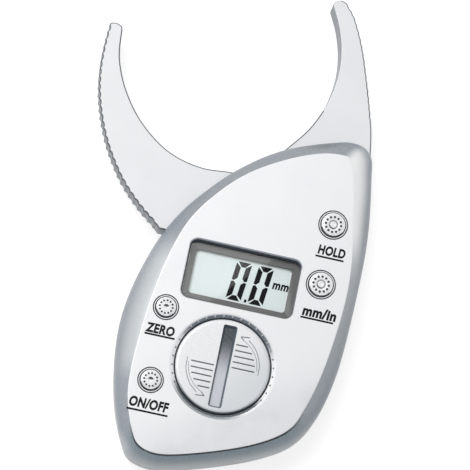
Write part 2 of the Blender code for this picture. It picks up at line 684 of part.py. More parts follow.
def gear_outline(teeth, first, last, angle_of_first, shrink, inner=None):
    """Involute teeth from first to last of a gear with that many teeth, anticlockwise."""
    pitch = GEAR_MODULE * teeth / 2
    base = pitch * cos(PRESSURE_ANGLE)
    tip = pitch + TOOTH_HEIGHT * GEAR_MODULE
    root = pitch - TOOTH_DEPTH * GEAR_MODULE
    start = max(base, root)
    half_pitch = pi / (2 * teeth) - shrink / (2 * pitch)
    pitch_roll = sqrt((pitch / base) ** 2 - 1)
    lead = tan(PRESSURE_ANGLE) - PRESSURE_ANGLE
    flank = []
    for step in range(4):
        radius = start + (tip - start) * step / 3
        roll = sqrt(max((radius / base) ** 2 - 1, 0.0))
        involute = roll - atan2(roll, 1.0)
        flank.append((radius, half_pitch + lead - involute))
    points = []
    for tooth in range(first, last):
        middle = angle_of_first + 2 * pi * tooth / teeth
        points.append((root, middle - half_pitch - lead - 0.10 * pi / teeth))
        points += [(radius, middle - half) for radius, half in flank]
        points += [(radius, middle + half) for radius, half in reversed(flank)]
        points.append((root, middle + half_pitch + lead + 0.10 * pi / teeth))
    outline = [(radius * cos(angle), radius * sin(angle)) for radius, angle in points]
    if inner:
        outline += arc(inner, points[-1][1], points[0][1], 12)
    return outline


def make_moving_jaw():
    """Left jaw: scalloped blade, hub that fills the slot, and the gear sector behind the pivot."""
    outer = scalloped(MOVING_OUTER, -1)
    inner = smooth_path(MOVING_INNER, spacing=JAW_POINT_SPACING)
    root = [tuple(p) for p in smooth_path((MOVING_OUTER[-1],) + MOVING_ROOT, count=8)[1:]]
    outline = [tuple(p) for p in outer] + root + [tuple(p) for p in inner[::-1]]
    outline += list(reversed(MOVING_TIP))
    blade = bmesh.new()
    bevelled_plate(blade, outline, JAW_BOTTOM, JAW_TOP, JAW_EDGE)
    jaw = add_object("moving_jaw", blade, "jaw_plastic")

    hub = bmesh.new()
    sector = arc(HUB_SECTOR_RADIUS, HUB_SECTOR_START, HUB_SECTOR_END, 20)
    closing = arc(HUB_RADIUS, HUB_SECTOR_END, HUB_SECTOR_START + 2 * pi, 24)
    prism(hub, sector + closing, JAW_BOTTOM, JAW_TOP)
    boolean(jaw, add_object("jaw_hub", hub), "UNION")

    gear = bmesh.new()
    pitch_angle = 2 * pi / SECTOR_FULL_TEETH
    behind = -round(SECTOR_SPARE_TEETH)
    ahead = round(CLOSING_ANGLE / pitch_angle + SECTOR_SPARE_TEETH) + 1
    teeth = gear_outline(SECTOR_FULL_TEETH, behind, ahead, MESH_ANGLE, TOOTH_BACKLASH,
                         HUB_RADIUS - SHELL_WALL)
    prism(gear, teeth, JAW_BOTTOM, JAW_BOTTOM + GEAR_THICKNESS)
    boolean(jaw, add_object("jaw_gear_sector", gear), "UNION")

    bore = bmesh.new()
    cylinder(bore, PIVOT_PIN_RADIUS + PIN_GAP, JAW_BOTTOM - SHELL_WALL, JAW_TOP + SHELL_WALL)
    boolean(jaw, add_object("jaw_bore", bore))
    return jaw


def make_fixed_jaw():
    """Right jaw: scalloped blade with a root that two case screws go through."""
    outer = scalloped(FIXED_OUTER, 1)
    inner = smooth_path(FIXED_INNER, spacing=JAW_POINT_SPACING)
    reach = HUB_SECTOR_RADIUS + FIXED_ROOT_CLEARANCE
    start, end = FIXED_ROOT_ARC
    outline = [tuple(p) for p in inner] + arc(reach, end, start, 8)
    outline += list(reversed(FIXED_ROOT_SIDE)) + [tuple(p) for p in outer[::-1]] + list(FIXED_TIP)
    blade = bmesh.new()
    bevelled_plate(blade, outline, JAW_BOTTOM, JAW_TOP, JAW_EDGE)
    jaw = add_object("fixed_jaw", blade, "jaw_plastic")
    holes = bmesh.new()
    for place in JAW_SCREWS:
        cylinder(holes, CASE_SCREW_RADIUS + SCREW_HOLE_GAP, JAW_BOTTOM - SHELL_WALL,
                 JAW_TOP + SHELL_WALL, place, 16)
    boolean(jaw, add_object("fixed_jaw_holes", holes))
    return jaw


def make_pivot():
    """Steel pin between the two shells, with the washers under and over the hub."""
    top = BODY_DEPTH - PIVOT_PIN_TOP_COVER
    bottom = PIVOT_SOCKET_FLOOR + SEAT_GAP
    edge = PIN_CHAMFER
    pin = ((0, top), (PIVOT_PIN_RADIUS - edge, top), (PIVOT_PIN_RADIUS, top - edge),
           (PIVOT_PIN_RADIUS, bottom + edge), (PIVOT_PIN_RADIUS - edge, bottom), (0, bottom))
    screw_turned("pivot_pin", pin, 24, "steel")

    inner = PIVOT_PIN_RADIUS + SIDE_GAP
    outer = PIVOT_PIN_RADIUS + PIVOT_BOSS_WALL
    low = THRUST_WASHER_Z
    high = low + THRUST_WASHER_THICKNESS
    screw_turned("thrust_washer", ((outer, high), (outer, low), (inner, low), (inner, high)), 24, "steel")

    bm = bmesh.new()
    steps = 24
    sheet = WAVE_WASHER_THICKNESS * 0.5
    rings = []
    for radius, lift in ((inner, 0.0), (outer, 0.0), (outer, sheet), (inner, sheet)):
        ring = []
        for i in range(steps):
            angle = 2 * pi * i / steps
            rise = (WAVE_WASHER_THICKNESS - sheet) * (0.5 + 0.5 * cos(WAVES * angle))
            height = WAVE_WASHER_Z + lift + rise
            ring.append(bm.verts.new((radius * cos(angle), radius * sin(angle), height)))
        rings.append(ring)
    for low_ring, high_ring in zip(rings, rings[1:] + rings[:1]):
        for i in range(steps):
            after = (i + 1) % steps
            bm.faces.new((low_ring[i], low_ring[after], high_ring[after], high_ring[i]))
    bmesh.ops.recalc_face_normals(bm, faces=bm.faces)
    add_object("wave_washer", bm, "spring_metal")


def make_encoder():
    """Axle, pinion, slotted disc and light gate that read the jaw's angle."""
    low = PIVOT_SOCKET_FLOOR + SEAT_GAP
    disc_low = ENCODER_DISC_Z
    disc_high = disc_low + ENCODER_DISC_THICKNESS
    axle_top = disc_high + SENSOR_SLOT
    axle = ((0, axle_top), (ENCODER_AXLE_RADIUS, axle_top), (ENCODER_AXLE_RADIUS, low), (0, low))
    screw_turned("encoder_axle", axle, 16, "steel", ENCODER_PLACE)

    gear = bmesh.new()
    half = pi / PINION_TEETH
    prism(gear, gear_outline(PINION_TEETH, 0, PINION_TEETH, MESH_ANGLE + pi + half, TOOTH_BACKLASH),
          JAW_BOTTOM, JAW_BOTTOM + GEAR_THICKNESS)
    pinion = add_object("encoder_pinion", gear, "gear_plastic")
    collar = bmesh.new()
    cylinder(collar, PINION_COLLAR_RADIUS, JAW_BOTTOM + GEAR_THICKNESS / 2, disc_low - SEAT_GAP,
             segments=20)
    collar_tool = add_object("pinion_collar", collar)
    boolean(pinion, collar_tool, "UNION")
    bore = bmesh.new()
    cylinder(bore, ENCODER_AXLE_RADIUS + PIN_GAP, JAW_BOTTOM - SHELL_WALL, disc_high, segments=16)
    bore_tool = add_object("pinion_bore", bore)
    boolean(pinion, bore_tool)

    inner = ENCODER_AXLE_RADIUS + PIN_GAP
    outer = ENCODER_DISC_RADIUS
    sheet = ((outer, disc_high), (outer, disc_low), (inner, disc_low), (inner, disc_high))
    disc = screw_turned("encoder_disc", sheet, 28, "black_plastic")
    windows = bmesh.new()
    middle = ENCODER_DISC_RADIUS - ENCODER_WINDOW_LENGTH
    for i in range(ENCODER_WINDOWS):
        turn = 2 * pi * i / ENCODER_WINDOWS
        box(windows, (ENCODER_WINDOW_LENGTH, ENCODER_WINDOW_WIDTH), disc_low - SEAT_GAP,
            disc_high + SEAT_GAP, (middle * cos(turn), middle * sin(turn)), turn)
    window_tool = add_object("encoder_windows", windows)
    boolean(disc, window_tool)
    for piece in (pinion, collar_tool, bore_tool, disc, window_tool):
        piece.location = (ENCODER_PLACE[0], ENCODER_PLACE[1], 0)

    reach = ENCODER_DISC_RADIUS - SENSOR_BITE + SENSOR_SIZE[0] / 2
    away = (cos(MESH_ANGLE), sin(MESH_ANGLE))
    place = (ENCODER_PLACE[0] + reach * away[0], ENCODER_PLACE[1] + reach * away[1])
    top = BOARD_BOTTOM - SEAT_GAP
    bottom = disc_low - SENSOR_SLOT / 2 - SENSOR_FOOT
    gate = bmesh.new()
    box(gate, SENSOR_SIZE, bottom, top, place, MESH_ANGLE)
    sensor = add_object("encoder_sensor", gate, "black_plastic")
    slot = bmesh.new()
    slot_end = ENCODER_DISC_RADIUS + SEAT_GAP * 2
    middle = slot_end - SENSOR_SIZE[0] / 2
    place = (ENCODER_PLACE[0] + middle * away[0], ENCODER_PLACE[1] + middle * away[1])
    box(slot, (SENSOR_SIZE[0], SENSOR_SIZE[1] * 2), disc_low - SENSOR_SLOT / 2,
        disc_high + SENSOR_SLOT / 2, place, MESH_ANGLE)
    boolean(sensor, add_object("sensor_slot", slot))


def make_board():
    """Circuit board with its cut-outs, and the controller chip under it."""
    bm = bmesh.new()
    prism(bm, [(x, y) for x, y, z in housing_ring(BOARD_INSET_SHARE, 0)], BOARD_BOTTOM, BOARD_TOP)
    board = add_object("circuit_board", bm, "board_green")
    low = BOARD_BOTTOM - BOARD_THICKNESS
    high = BOARD_TOP + BOARD_THICKNESS
    around = bmesh.new()
    cylinder(around, PIVOT_PIN_RADIUS + PIVOT_BOSS_WALL + BOARD_HOLE_GAP, low, high)
    cylinder(around, WELL_RADIUS + BOARD_HOLE_GAP, low, high, BATTERY_PLACE, 40)
    across = HOUSING_LOOP[:, 0].max() - HOUSING_LOOP[:, 0].min()
    over = HOUSING_LOOP[:, 1].max()
    box(around, (2 * across, over), low, high, (0, BOARD_TOP_EDGE + over / 2))
    boolean(board, add_object("board_room", around))
    cuts = bmesh.new()
    for place in SHELL_SCREWS:
        cylinder(cuts, CASE_BOSS_RADIUS + BOARD_HOLE_GAP, low, high, place, 16)
    for place in BOARD_SCREWS:
        cylinder(cuts, BOARD_SCREW_RADIUS + SCREW_HOLE_GAP, low, high, place, 12)
    boolean(board, add_object("board_cuts", cuts))

    chip = bmesh.new()
    top = BOARD_BOTTOM - SEAT_GAP
    box(chip, CHIP_SIZE[:2], top - CHIP_SIZE[2], top, CHIP_PLACE)
    add_object("controller_chip", chip, "black_plastic")


def make_display():
    """Window, frame, glass and the two rubber connectors."""
    lens = bmesh.new()
    prism(lens, rounded_rectangle(WINDOW_SIZE, WINDOW_CORNER, DISPLAY_PLACE), WINDOW_BOTTOM,
          WINDOW_BOTTOM + WINDOW_THICKNESS)
    add_object("lcd_window", lens, "clear_plastic")

    bottom = BOARD_TOP + THIN_GAP
    holder = bmesh.new()
    prism(holder, rounded_rectangle(FRAME_SIZE, FRAME_WALL, DISPLAY_PLACE, 3), bottom, FRAME_TOP)
    frame = add_object("lcd_frame", holder, "grey_plastic")
    view = bmesh.new()
    prism(view, rounded_rectangle(FRAME_OPENING, FRAME_WALL / 2, DISPLAY_PLACE, 3), bottom,
          FRAME_TOP + FRAME_LIP)
    boolean(frame, add_object("frame_view", view))
    room = bmesh.new()
    inside = (FRAME_SIZE[0] - 2 * FRAME_WALL, FRAME_SIZE[1] - 2 * FRAME_WALL)
    box(room, inside, bottom - FRAME_LIP, FRAME_TOP - FRAME_LIP, DISPLAY_PLACE)
    boolean(frame, add_object("frame_room", room))

    half = (GLASS_TOP + GLASS_BOTTOM) / 2
    glass = bmesh.new()
    box(glass, GLASS_SIZE, GLASS_BOTTOM, half, DISPLAY_PLACE)
    pane = add_object("lcd_glass", glass, "display_glass")
    upper = bmesh.new()
    box(upper, (GLASS_SIZE[0], GLASS_SIZE[1] - GLASS_LEDGE), GLASS_BOTTOM + GLASS_THICKNESS / 4,
        GLASS_TOP, DISPLAY_PLACE)
    boolean(pane, add_object("glass_upper", upper), "UNION")

    offset = GLASS_SIZE[1] / 2 - ZEBRA_WIDTH / 2
    for name, side in (("zebra_strip_upper", 1), ("zebra_strip_lower", -1)):
        strip = bmesh.new()
        box(strip, (ZEBRA_LENGTH, ZEBRA_WIDTH), BOARD_TOP + THIN_GAP, GLASS_BOTTOM - THIN_GAP,
            (DISPLAY_PLACE[0], DISPLAY_PLACE[1] + side * offset))
        add_object(name, strip, "zebra_rubber")


def make_buttons():
    """Four push buttons with a nub and a ring on top, and a key switch under each."""
    flange_top = FACE_INSIDE - SEAT_GAP
    flange_bottom = flange_top - CAP_FLANGE_THICKNESS
    top = BODY_DEPTH + CAP_RISE
    plunger_top = flange_bottom - BUTTON_TRAVEL - SWITCH_FREE_GAP
    firsts = {}
    for key, place in BUTTON_PLACES.items():
        name = "button_" + key
        radius = button_radius(key)
        if radius in firsts:
            copy_of(firsts[radius], name, place)
            continue
        flange = radius + CAP_FLANGE_WIDTH
        groove = top - NUB_GROOVE_DEPTH
        profile = ((0, top), (0.24 * radius, top), (0.34 * radius, groove), (0.46 * radius, groove),
                   (0.50 * radius, top), (radius - CAP_CHAMFER, top - CAP_CHAMFER / 3),
                   (radius, top - CAP_CHAMFER), (radius, flange_top), (flange, flange_top),
                   (flange, flange_bottom), (0, flange_bottom))
        turned = screw_turned(name + "_turned", profile, 20)
        cap = frozen(turned, name, "button_silver")
        cap.location = (place[0], place[1], 0)
        firsts[radius] = cap

    base = BOARD_TOP + THIN_GAP
    body_top = base + SWITCH_BODY_HEIGHT
    first = None
    for key, place in BUTTON_PLACES.items():
        name = "key_switch_" + key
        if first:
            copy_of(first, name, place)
            continue
        body = bmesh.new()
        box(body, (SWITCH_SIZE, SWITCH_SIZE), base, body_top)
        block = add_object("switch_block", body)
        plunger = bmesh.new()
        cylinder(plunger, SWITCH_PLUNGER_RADIUS, base + SWITCH_BODY_HEIGHT / 2, plunger_top, segments=16)
        stem = add_object("switch_plunger", plunger)
        boolean(block, stem, "UNION")
        first = frozen(block, name, "black_plastic")
        first.location = (place[0], place[1], 0)
        bpy.data.objects.remove(stem, do_unlink=True)


def make_battery_door():
    """Round door with a coin slot, hatch lines and two lugs that turn under the well's ledge."""
    edge = DOOR_CHAMFER
    profile = ((0, DOOR_TOP), (DOOR_RADIUS - edge, DOOR_TOP), (DOOR_RADIUS, DOOR_TOP - edge),
               (DOOR_RADIUS, DOOR_BOTTOM), (DOOR_NECK_RADIUS, DOOR_BOTTOM), (DOOR_NECK_RADIUS, LUG_BOTTOM),
               (0, LUG_BOTTOM))
    door = screw_turned("battery_door", profile, 40, "silver_plastic", BATTERY_PLACE)

    lugs = bmesh.new()
    for side in (0, pi):
        spread = LUG_ANGLE / 2
        wedge = arc(DOOR_NECK_RADIUS - LUG_REACH, side + spread, side - spread, 4)
        wedge += arc(DOOR_NECK_RADIUS + LUG_REACH, side - spread, side + spread, 6)
        prism(lugs, wedge, LUG_BOTTOM, LUG_TOP)
    lug_tool = add_object("door_lugs", lugs)
    boolean(door, lug_tool, "UNION")

    cuts = bmesh.new()
    box(cuts, (COIN_SLOT_WIDTH, COIN_SLOT_LENGTH), DOOR_TOP - COIN_SLOT_DEPTH, DOOR_TOP + edge)
    start = COIN_SLOT_WIDTH / 2 + HATCH_GAP
    for line in range(HATCH_LINES):
        height = HATCH_FIRST + line * HATCH_PITCH
        length = sqrt(HATCH_REACH ** 2 - height ** 2) - start
        for side in (1, -1):
            middle = (side * (start + length / 2), side * height)
            box(cuts, (length, HATCH_WIDTH), DOOR_TOP - HATCH_DEPTH, DOOR_TOP + edge, middle)
    cut_tool = add_object("door_cuts", cuts)
    boolean(door, cut_tool)
    for tool in (lug_tool, cut_tool):
        tool.location = (BATTERY_PLACE[0], BATTERY_PLACE[1], 0)


def make_cell():
    """Coin cell: a can with a smaller pole on its underside."""
    edge = CELL_CHAMFER
    pole = CELL_RADIUS - CELL_POLE_STEP
    profile = ((0, CELL_TOP), (CELL_RADIUS - edge, CELL_TOP), (CELL_RADIUS, CELL_TOP - edge),
               (CELL_RADIUS, CELL_BOTTOM + 2 * edge), (pole, CELL_BOTTOM + 2 * edge), (pole, CELL_BOTTOM),
               (0, CELL_BOTTOM))
    screw_turned("battery_cell", profile, 32, "steel", BATTERY_PLACE)


def contact_paths():
    """Route of each battery contact, as radius and height, with its slit in the well's wall."""
    tail = WELL_RADIUS + CONTACT_TAIL
    under_board = BOARD_BOTTOM - SEAT_GAP - CONTACT_THICKNESS
    side = CELL_RADIUS + CELL_SIDE_GAP / 2 + CONTACT_THICKNESS
    floor_slit = (CONTACT_Z - THIN_GAP, CONTACT_Z + CONTACT_THICKNESS + THIN_GAP)
    side_slit = (under_board - THIN_GAP, CELL_TOP)
    return {
        "contact_negative": {
            "angle": NEGATIVE_ANGLE, "pocket": CELL_RADIUS - SHELL_WALL, "slit": floor_slit,
            "path": ((-CONTACT_REACH, CONTACT_Z), (tail - CONTACT_TAIL / 2, CONTACT_Z),
                     (tail - CONTACT_TAIL / 2, under_board), (tail, under_board)),
        },
        "contact_positive": {
            "angle": POSITIVE_ANGLE, "pocket": CELL_RADIUS - SHELL_WALL, "slit": side_slit,
            "path": ((side, CELL_TOP - THIN_GAP), (side, under_board), (tail, under_board)),
        },
    }


def make_contacts():
    """Bent metal strips: one under the cell and one against its side."""
    for name, contact in contact_paths().items():
        bm = bmesh.new()
        rows = []
        for radius, height in contact["path"]:
            rows.append([bm.verts.new((radius, side * CONTACT_WIDTH / 2, height)) for side in (-1, 1)])
        for a, b in zip(rows, rows[1:]):
            bm.faces.new((a[0], b[0], b[1], a[1]))
        turn = Matrix.Rotation(contact["angle"], 3, "Z")
        bmesh.ops.rotate(bm, verts=bm.verts, cent=(0, 0, 0), matrix=turn)
        strip = add_object(name, bm, "spring_metal")
        strip.location = (BATTERY_PLACE[0], BATTERY_PLACE[1], 0)
        thick = strip.modifiers.new("sheet", "SOLIDIFY")
        thick.thickness = CONTACT_THICKNESS
        thick.offset = 1
        thick.use_even_offset = True


def make_screws(prefix, places, head_z, head_height, radii, tip_z):
    """Pan-head screws with a cross recess, head down, all from one mesh."""
    shank, head = radii
    seat = head_z + head_height
    profile = ((0, tip_z), (shank, tip_z - shank), (shank, seat), (head, seat),
               (head, head_z + head_height * 0.35), (head * 0.8, head_z), (0, head_z))
    turned = screw_turned(prefix + "_turned", profile, 12)
    low = head_z - head_height
    high = head_z + head_height * RECESS_DEPTH
    long, short = head * RECESS_LENGTH, head * RECESS_WIDTH
    recess = bmesh.new()
    box(recess, (long, short), low, high)
    cross = add_object(prefix + "_recess", recess)
    boolean(turned, cross)
    recess = bmesh.new()
    box(recess, (short, long), low, high)
    other = add_object(prefix + "_recess_across", recess)
    boolean(turned, other)
    first = frozen(turned, prefix + "_1", "steel")
    for tool in (cross, other):
        bpy.data.objects.remove(tool, do_unlink=True)
    first.location = (places[0][0], places[0][1], 0)
    for number, place in enumerate(places[1:], start=2):
        copy_of(first, prefix + "_" + str(number), place)


def make_fasteners():
    """Case screws come from the back, board screws from under the board."""
    jaw_tip = JAW_TOP + SEAT_GAP + CASE_SCREW_BITE
    shell_tip = PARTING_HEIGHT + CASE_SCREW_BITE
    make_screws("jaw_screw", JAW_SCREWS, CASE_HEAD_SINK, CASE_HEAD_HEIGHT,
                (CASE_SCREW_RADIUS, CASE_HEAD_RADIUS), jaw_tip)
    make_screws("case_screw", SHELL_SCREWS, CASE_HEAD_SINK, CASE_HEAD_HEIGHT,
                (CASE_SCREW_RADIUS, CASE_HEAD_RADIUS), shell_tip)
    head_z = BOARD_BOTTOM - THIN_GAP - BOARD_HEAD_HEIGHT
    make_screws("board_screw", BOARD_SCREWS, head_z, BOARD_HEAD_HEIGHT,
                (BOARD_SCREW_RADIUS, BOARD_HEAD_RADIUS), BOARD_TOP + SEAT_GAP + BOARD_SCREW_BITE)


make_front_shell()
make_back_shell()
make_moving_jaw()
make_fixed_jaw()
make_pivot()
make_encoder()
make_board()
make_display()
make_buttons()
make_battery_door()
make_cell()
make_contacts()
make_fasteners()
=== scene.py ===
# %% [markdown]
# # A digital body fat caliper, dressed for its portrait
#
# This caliper pinches a fold of skin between two jaws and shows the fold's thickness on a small
# display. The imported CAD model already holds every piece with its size, place and motion. This
# lesson puts finely rounded plastic, printed words and a working-looking display on that model,
# and lights it like a catalogue picture.
#
# The frame comes first, because everything else is placed in it: +Z points out of the caliper's
# face, +Y along the jaws, +X along the display, and the origin lies on the jaw's pivot axis.

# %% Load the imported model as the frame
import bpy
import bmesh
import json
import numpy as np
from math import atan2, cos, hypot, pi, radians, sin, sqrt
from mathutils import Matrix, Vector


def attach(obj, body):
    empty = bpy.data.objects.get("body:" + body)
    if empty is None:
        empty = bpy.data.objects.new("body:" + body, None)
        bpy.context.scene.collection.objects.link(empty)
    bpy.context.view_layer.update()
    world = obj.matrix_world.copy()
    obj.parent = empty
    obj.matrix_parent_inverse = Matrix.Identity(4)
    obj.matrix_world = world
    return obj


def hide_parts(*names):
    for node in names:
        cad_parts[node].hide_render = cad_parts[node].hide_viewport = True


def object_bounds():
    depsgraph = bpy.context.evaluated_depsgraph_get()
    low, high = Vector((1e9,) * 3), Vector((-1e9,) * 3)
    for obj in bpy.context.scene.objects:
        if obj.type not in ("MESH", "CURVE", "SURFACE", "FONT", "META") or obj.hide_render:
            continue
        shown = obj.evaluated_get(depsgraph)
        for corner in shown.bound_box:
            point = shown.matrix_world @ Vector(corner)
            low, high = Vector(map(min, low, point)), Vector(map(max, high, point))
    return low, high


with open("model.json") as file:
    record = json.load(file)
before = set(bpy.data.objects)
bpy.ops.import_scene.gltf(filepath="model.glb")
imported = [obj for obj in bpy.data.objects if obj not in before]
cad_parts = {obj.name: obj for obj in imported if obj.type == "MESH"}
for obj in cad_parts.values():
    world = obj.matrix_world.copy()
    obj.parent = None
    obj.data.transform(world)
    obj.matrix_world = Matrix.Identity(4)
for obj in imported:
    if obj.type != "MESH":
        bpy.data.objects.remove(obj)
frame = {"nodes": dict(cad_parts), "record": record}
CAD_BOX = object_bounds()
MM = 0.001
BOX = [[v / MM for v in corner] for corner in CAD_BOX]
print("CAD box in mm:", [round(v, 2) for corner in BOX for v in corner])

# %% [markdown]
# ## Sizes shared with the CAD model
#
# A scene may not read the CAD source, so the few sizes that the fine pieces need are written here
# again. Heights are above the surface that the caliper lies on. Sizes of pieces are in millimetres, as
# on a drawing, and become metres only where a vertex is made; the camera and the lights are placed in
# metres. Keeping the sizes as named values, in one place, is what lets a fine piece sit exactly where
# its plain solid sits.

# %% Sizes of the housing and what it carries
BODY_DEPTH = 20.0
SHELL_WALL = 2.0
PARTING = 10.0
PARTING_GAP = 0.3
FACE_INSIDE = BODY_DEPTH - SHELL_WALL
SEAT_GAP = 0.3

JAW_BOTTOM, JAW_TOP = 5.2, 12.2
JAW_EDGE = 0.4
SLOT_GAP = 0.3
HUB_RADIUS = 11.5
SECTOR_RADIUS = 16.5
SECTOR_ARC = (radians(100), radians(250))
SLOT_ARC = (radians(84), radians(199.5))
PIN_BORE = 2.58

DISPLAY = (-3.7, -19.4)
WINDOW = (32.6, 16.8)
WINDOW_CORNER = 2.2
WINDOW_BOTTOM, WINDOW_TOP = 18.0, 19.1
VIEW = (28.6, 13.2)
GLASS_TOP = 16.5
FRAME_TOP = 17.7

BUTTONS = {"hold": (19.4, 2.3, 3.6), "unit": (19.2, -15.9, 3.6),
           "zero": (-23.3, -32.2, 3.0), "on_off": (-23.3, -53.8, 3.0)}
CAP_TOP = 20.7
HOLE_GAP = 0.16

BATTERY = (-3.9, -45.4)
DOOR_RADIUS = 13.8
DOOR_GAP = 0.35
DOOR_TOP, DOOR_BOTTOM = 19.5, 17.5
DOOR_NECK = 11.6
LEDGE_TOP, LEDGE_BOTTOM = 17.2, 16.2
LUG_TOP, LUG_BOTTOM = 15.9, 14.9
LUG_REACH = 1.9
WELL_RADIUS = DOOR_RADIUS + DOOR_GAP + 1.6
print("display centre", DISPLAY, "door centre", BATTERY)

# %% [markdown]
# ## The camera
#
# The photograph looks down on the caliper from a little below and left of straight above, with the
# jaws turned a few degrees clockwise in the picture. A real camera has a place, a direction and a
# roll. Rather than turning an object by hand, the camera's three axes are written as vectors and put
# together into one matrix, which can be checked against the picture point by point.

# %% Camera
CAMERA_ROLL = radians(11.4)
CAMERA_DISTANCE = 648.157 * MM
CAMERA_TARGET = Vector((-7.8633 * MM, -5.9931 * MM, 16.0 * MM))
PIXELS_ACROSS = 470
FOCAL_PIXELS = 2222
SENSOR = 36


def turned(vector):
    """A direction in the picture's upright axes, turned into the caliper's own axes."""
    return Matrix.Rotation(CAMERA_ROLL, 3, "Z") @ Vector(vector)


camera_data = bpy.data.cameras.new("photo_camera")
camera = bpy.data.objects.new("photo_camera", camera_data)
bpy.context.scene.collection.objects.link(camera)
towards_camera = turned((-0.104528, -0.224951, 0.968747))
picture_right = turned((0.994229, 0.0, 0.107278))
picture_up = turned((-0.024132, 0.974370, 0.223653))
axes = Matrix((picture_right, picture_up, towards_camera)).transposed().to_4x4()
camera.matrix_world = Matrix.Translation(CAMERA_TARGET + towards_camera * CAMERA_DISTANCE) @ axes
camera_data.sensor_width = SENSOR
camera_data.lens = SENSOR * FOCAL_PIXELS / PIXELS_ACROSS
camera_data.clip_start = 0.01
camera_data.clip_end = 10
bpy.context.scene.camera = camera
bpy.context.scene.view_settings.view_transform = "Standard"
print("lens in mm:", round(camera_data.lens, 1))

# %% [markdown]
# ## Helpers for building meshes
#
# Every piece here is one of three things: a stack of rings skinned into a loft, a profile turned
# round an axis, or such a solid with others cut out of it or joined on. A few short functions do all
# of that with bmesh. Each ends in ordinary mesh data, so what is seen is real geometry.

# %% Mesh helpers
PIECES = bpy.data.collections.new("fine_pieces")
bpy.context.scene.collection.children.link(PIECES)


def smooth_edges(mesh, angle=30):
    """Smooth shading, with edges steeper than the angle kept crisp."""
    mesh.shade_smooth()
    mesh.set_sharp_from_angle(angle=radians(angle))


def as_object(name, mesh):
    """An object for a mesh, in the fine pieces' collection."""
    made = bpy.data.objects.new(name, mesh)
    PIECES.objects.link(made)
    return made


def built(name, build, angle=30):
    """Call build on an empty bmesh and turn the result into an object."""
    bm = bmesh.new()
    build(bm)
    mesh = bpy.data.meshes.new(name)
    bm.to_mesh(mesh)
    bm.free()
    smooth_edges(mesh, angle)
    return as_object(name, mesh)


def loft(bm, rings, closed=False):
    """Skin rings of equal length, anticlockwise and upwards, and cap both ends or join them."""
    made = [[bm.verts.new([v * MM for v in point]) for point in ring] for ring in rings]
    count = len(made[0])
    for low, high in zip(made, made[1:] + made[:1] if closed else made[1:]):
        for i in range(count):
            after = (i + 1) % count
            bm.faces.new((low[i], low[after], high[after], high[i]))
    if not closed:
        bm.faces.new(made[0][::-1])
        bm.faces.new(made[-1])


def level(outline, height):
    """A flat outline at one height."""
    return [(x, y, height) for x, y in outline]


def prism(bm, outline, bottom, top):
    """A flat outline with a thickness."""
    loft(bm, [level(outline, bottom), level(outline, top)])


def circle(radius, place=(0, 0), steps=64):
    """Points of a circle, anticlockwise."""
    turns = [2 * pi * i / steps for i in range(steps)]
    return [(place[0] + radius * cos(t), place[1] + radius * sin(t)) for t in turns]


def turned_solid(bm, profile, place=(0, 0), steps=64, closed=False):
    """Turn (radius, height) pairs, which run up the outside, round an upright axis."""
    loft(bm, [level(circle(radius, place, steps), height) for radius, height in profile], closed)


def column(bm, radius, bottom, top, place=(0, 0), steps=32):
    """An upright cylinder."""
    prism(bm, circle(radius, place, steps), bottom, top)


def arc(radius, start, end, steps, place=(0, 0)):
    """Points on an arc."""
    turns = [start + (end - start) * i / steps for i in range(steps + 1)]
    return [(place[0] + radius * cos(t), place[1] + radius * sin(t)) for t in turns]


def sector(inner, outer, start, end, steps=(6, 12), place=(0, 0)):
    """Outline of a part of a ring, anticlockwise."""
    return arc(inner, end, start, steps[0], place) + arc(outer, start, end, steps[1], place)


def rounded_rectangle(size, corner, place, steps=10):
    """Outline of a rectangle with round corners, anticlockwise."""
    points = []
    for quarter, (sx, sy) in enumerate(((1, 1), (-1, 1), (-1, -1), (1, -1))):
        middle = (place[0] + sx * (size[0] / 2 - corner), place[1] + sy * (size[1] / 2 - corner))
        points += arc(corner, quarter * pi / 2, (quarter + 1) * pi / 2, steps, middle)
    return points


def flat_box(bm, size, bottom, top, place, turn=0.0):
    """An upright box, turned about its own middle."""
    middle = Matrix.Translation((place[0] * MM, place[1] * MM, (bottom + top) / 2 * MM))
    scale = Matrix.Diagonal((size[0] * MM, size[1] * MM, (top - bottom) * MM, 1.0))
    bmesh.ops.create_cube(bm, size=1.0, matrix=middle @ Matrix.Rotation(turn, 4, "Z") @ scale)


def cut(target, tool, operation="DIFFERENCE"):
    """Cut a tool out of a target, join it on, or keep what both share, and delete the tool."""
    step = target.modifiers.new(tool.name, "BOOLEAN")
    step.operation = operation
    step.solver = "EXACT"
    step.object = tool
    graph = bpy.context.evaluated_depsgraph_get()
    result = bpy.data.meshes.new_from_object(target.evaluated_get(graph))
    target.modifiers.clear()
    target.data = result
    bpy.data.objects.remove(tool, do_unlink=True)
    smooth_edges(target.data)
    return target


def cut_with(target, *builds, operation="DIFFERENCE"):
    """Build tools and apply them to the target, one after another."""
    for build in builds:
        cut(target, built("tool", build), operation)
    return target


def dress(piece, look, body, node=None):
    """Give a finished piece its material, its place in the frame and even shading."""
    piece.data.materials.clear()
    piece.data.materials.append(look)
    even = piece.modifiers.new("even_normals", "WEIGHTED_NORMAL")
    even.keep_sharp = True
    if node:
        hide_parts(node)
    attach(piece, body)
    print(piece.name + ":", len(piece.data.polygons), "faces")


def tint(piece, look, test):
    """Give another material to the faces whose middle and upward share of normal pass a test."""
    piece.data.materials.append(look)
    for face in piece.data.polygons:
        if test(*(v / MM for v in face.center), face.normal.z):
            face.material_index = len(piece.data.materials) - 1


print("mesh helpers ready")

# %% [markdown]
# ## Smooth outlines
#
# The housing and the jaws are free curves. Each is a short list of points that a smooth curve passes
# through, as a draughtsman's spline does. The curve is of the centripetal kind, whose pace follows the
# distance between its points. It makes no loops where the points come close together.

# %% Curves through points


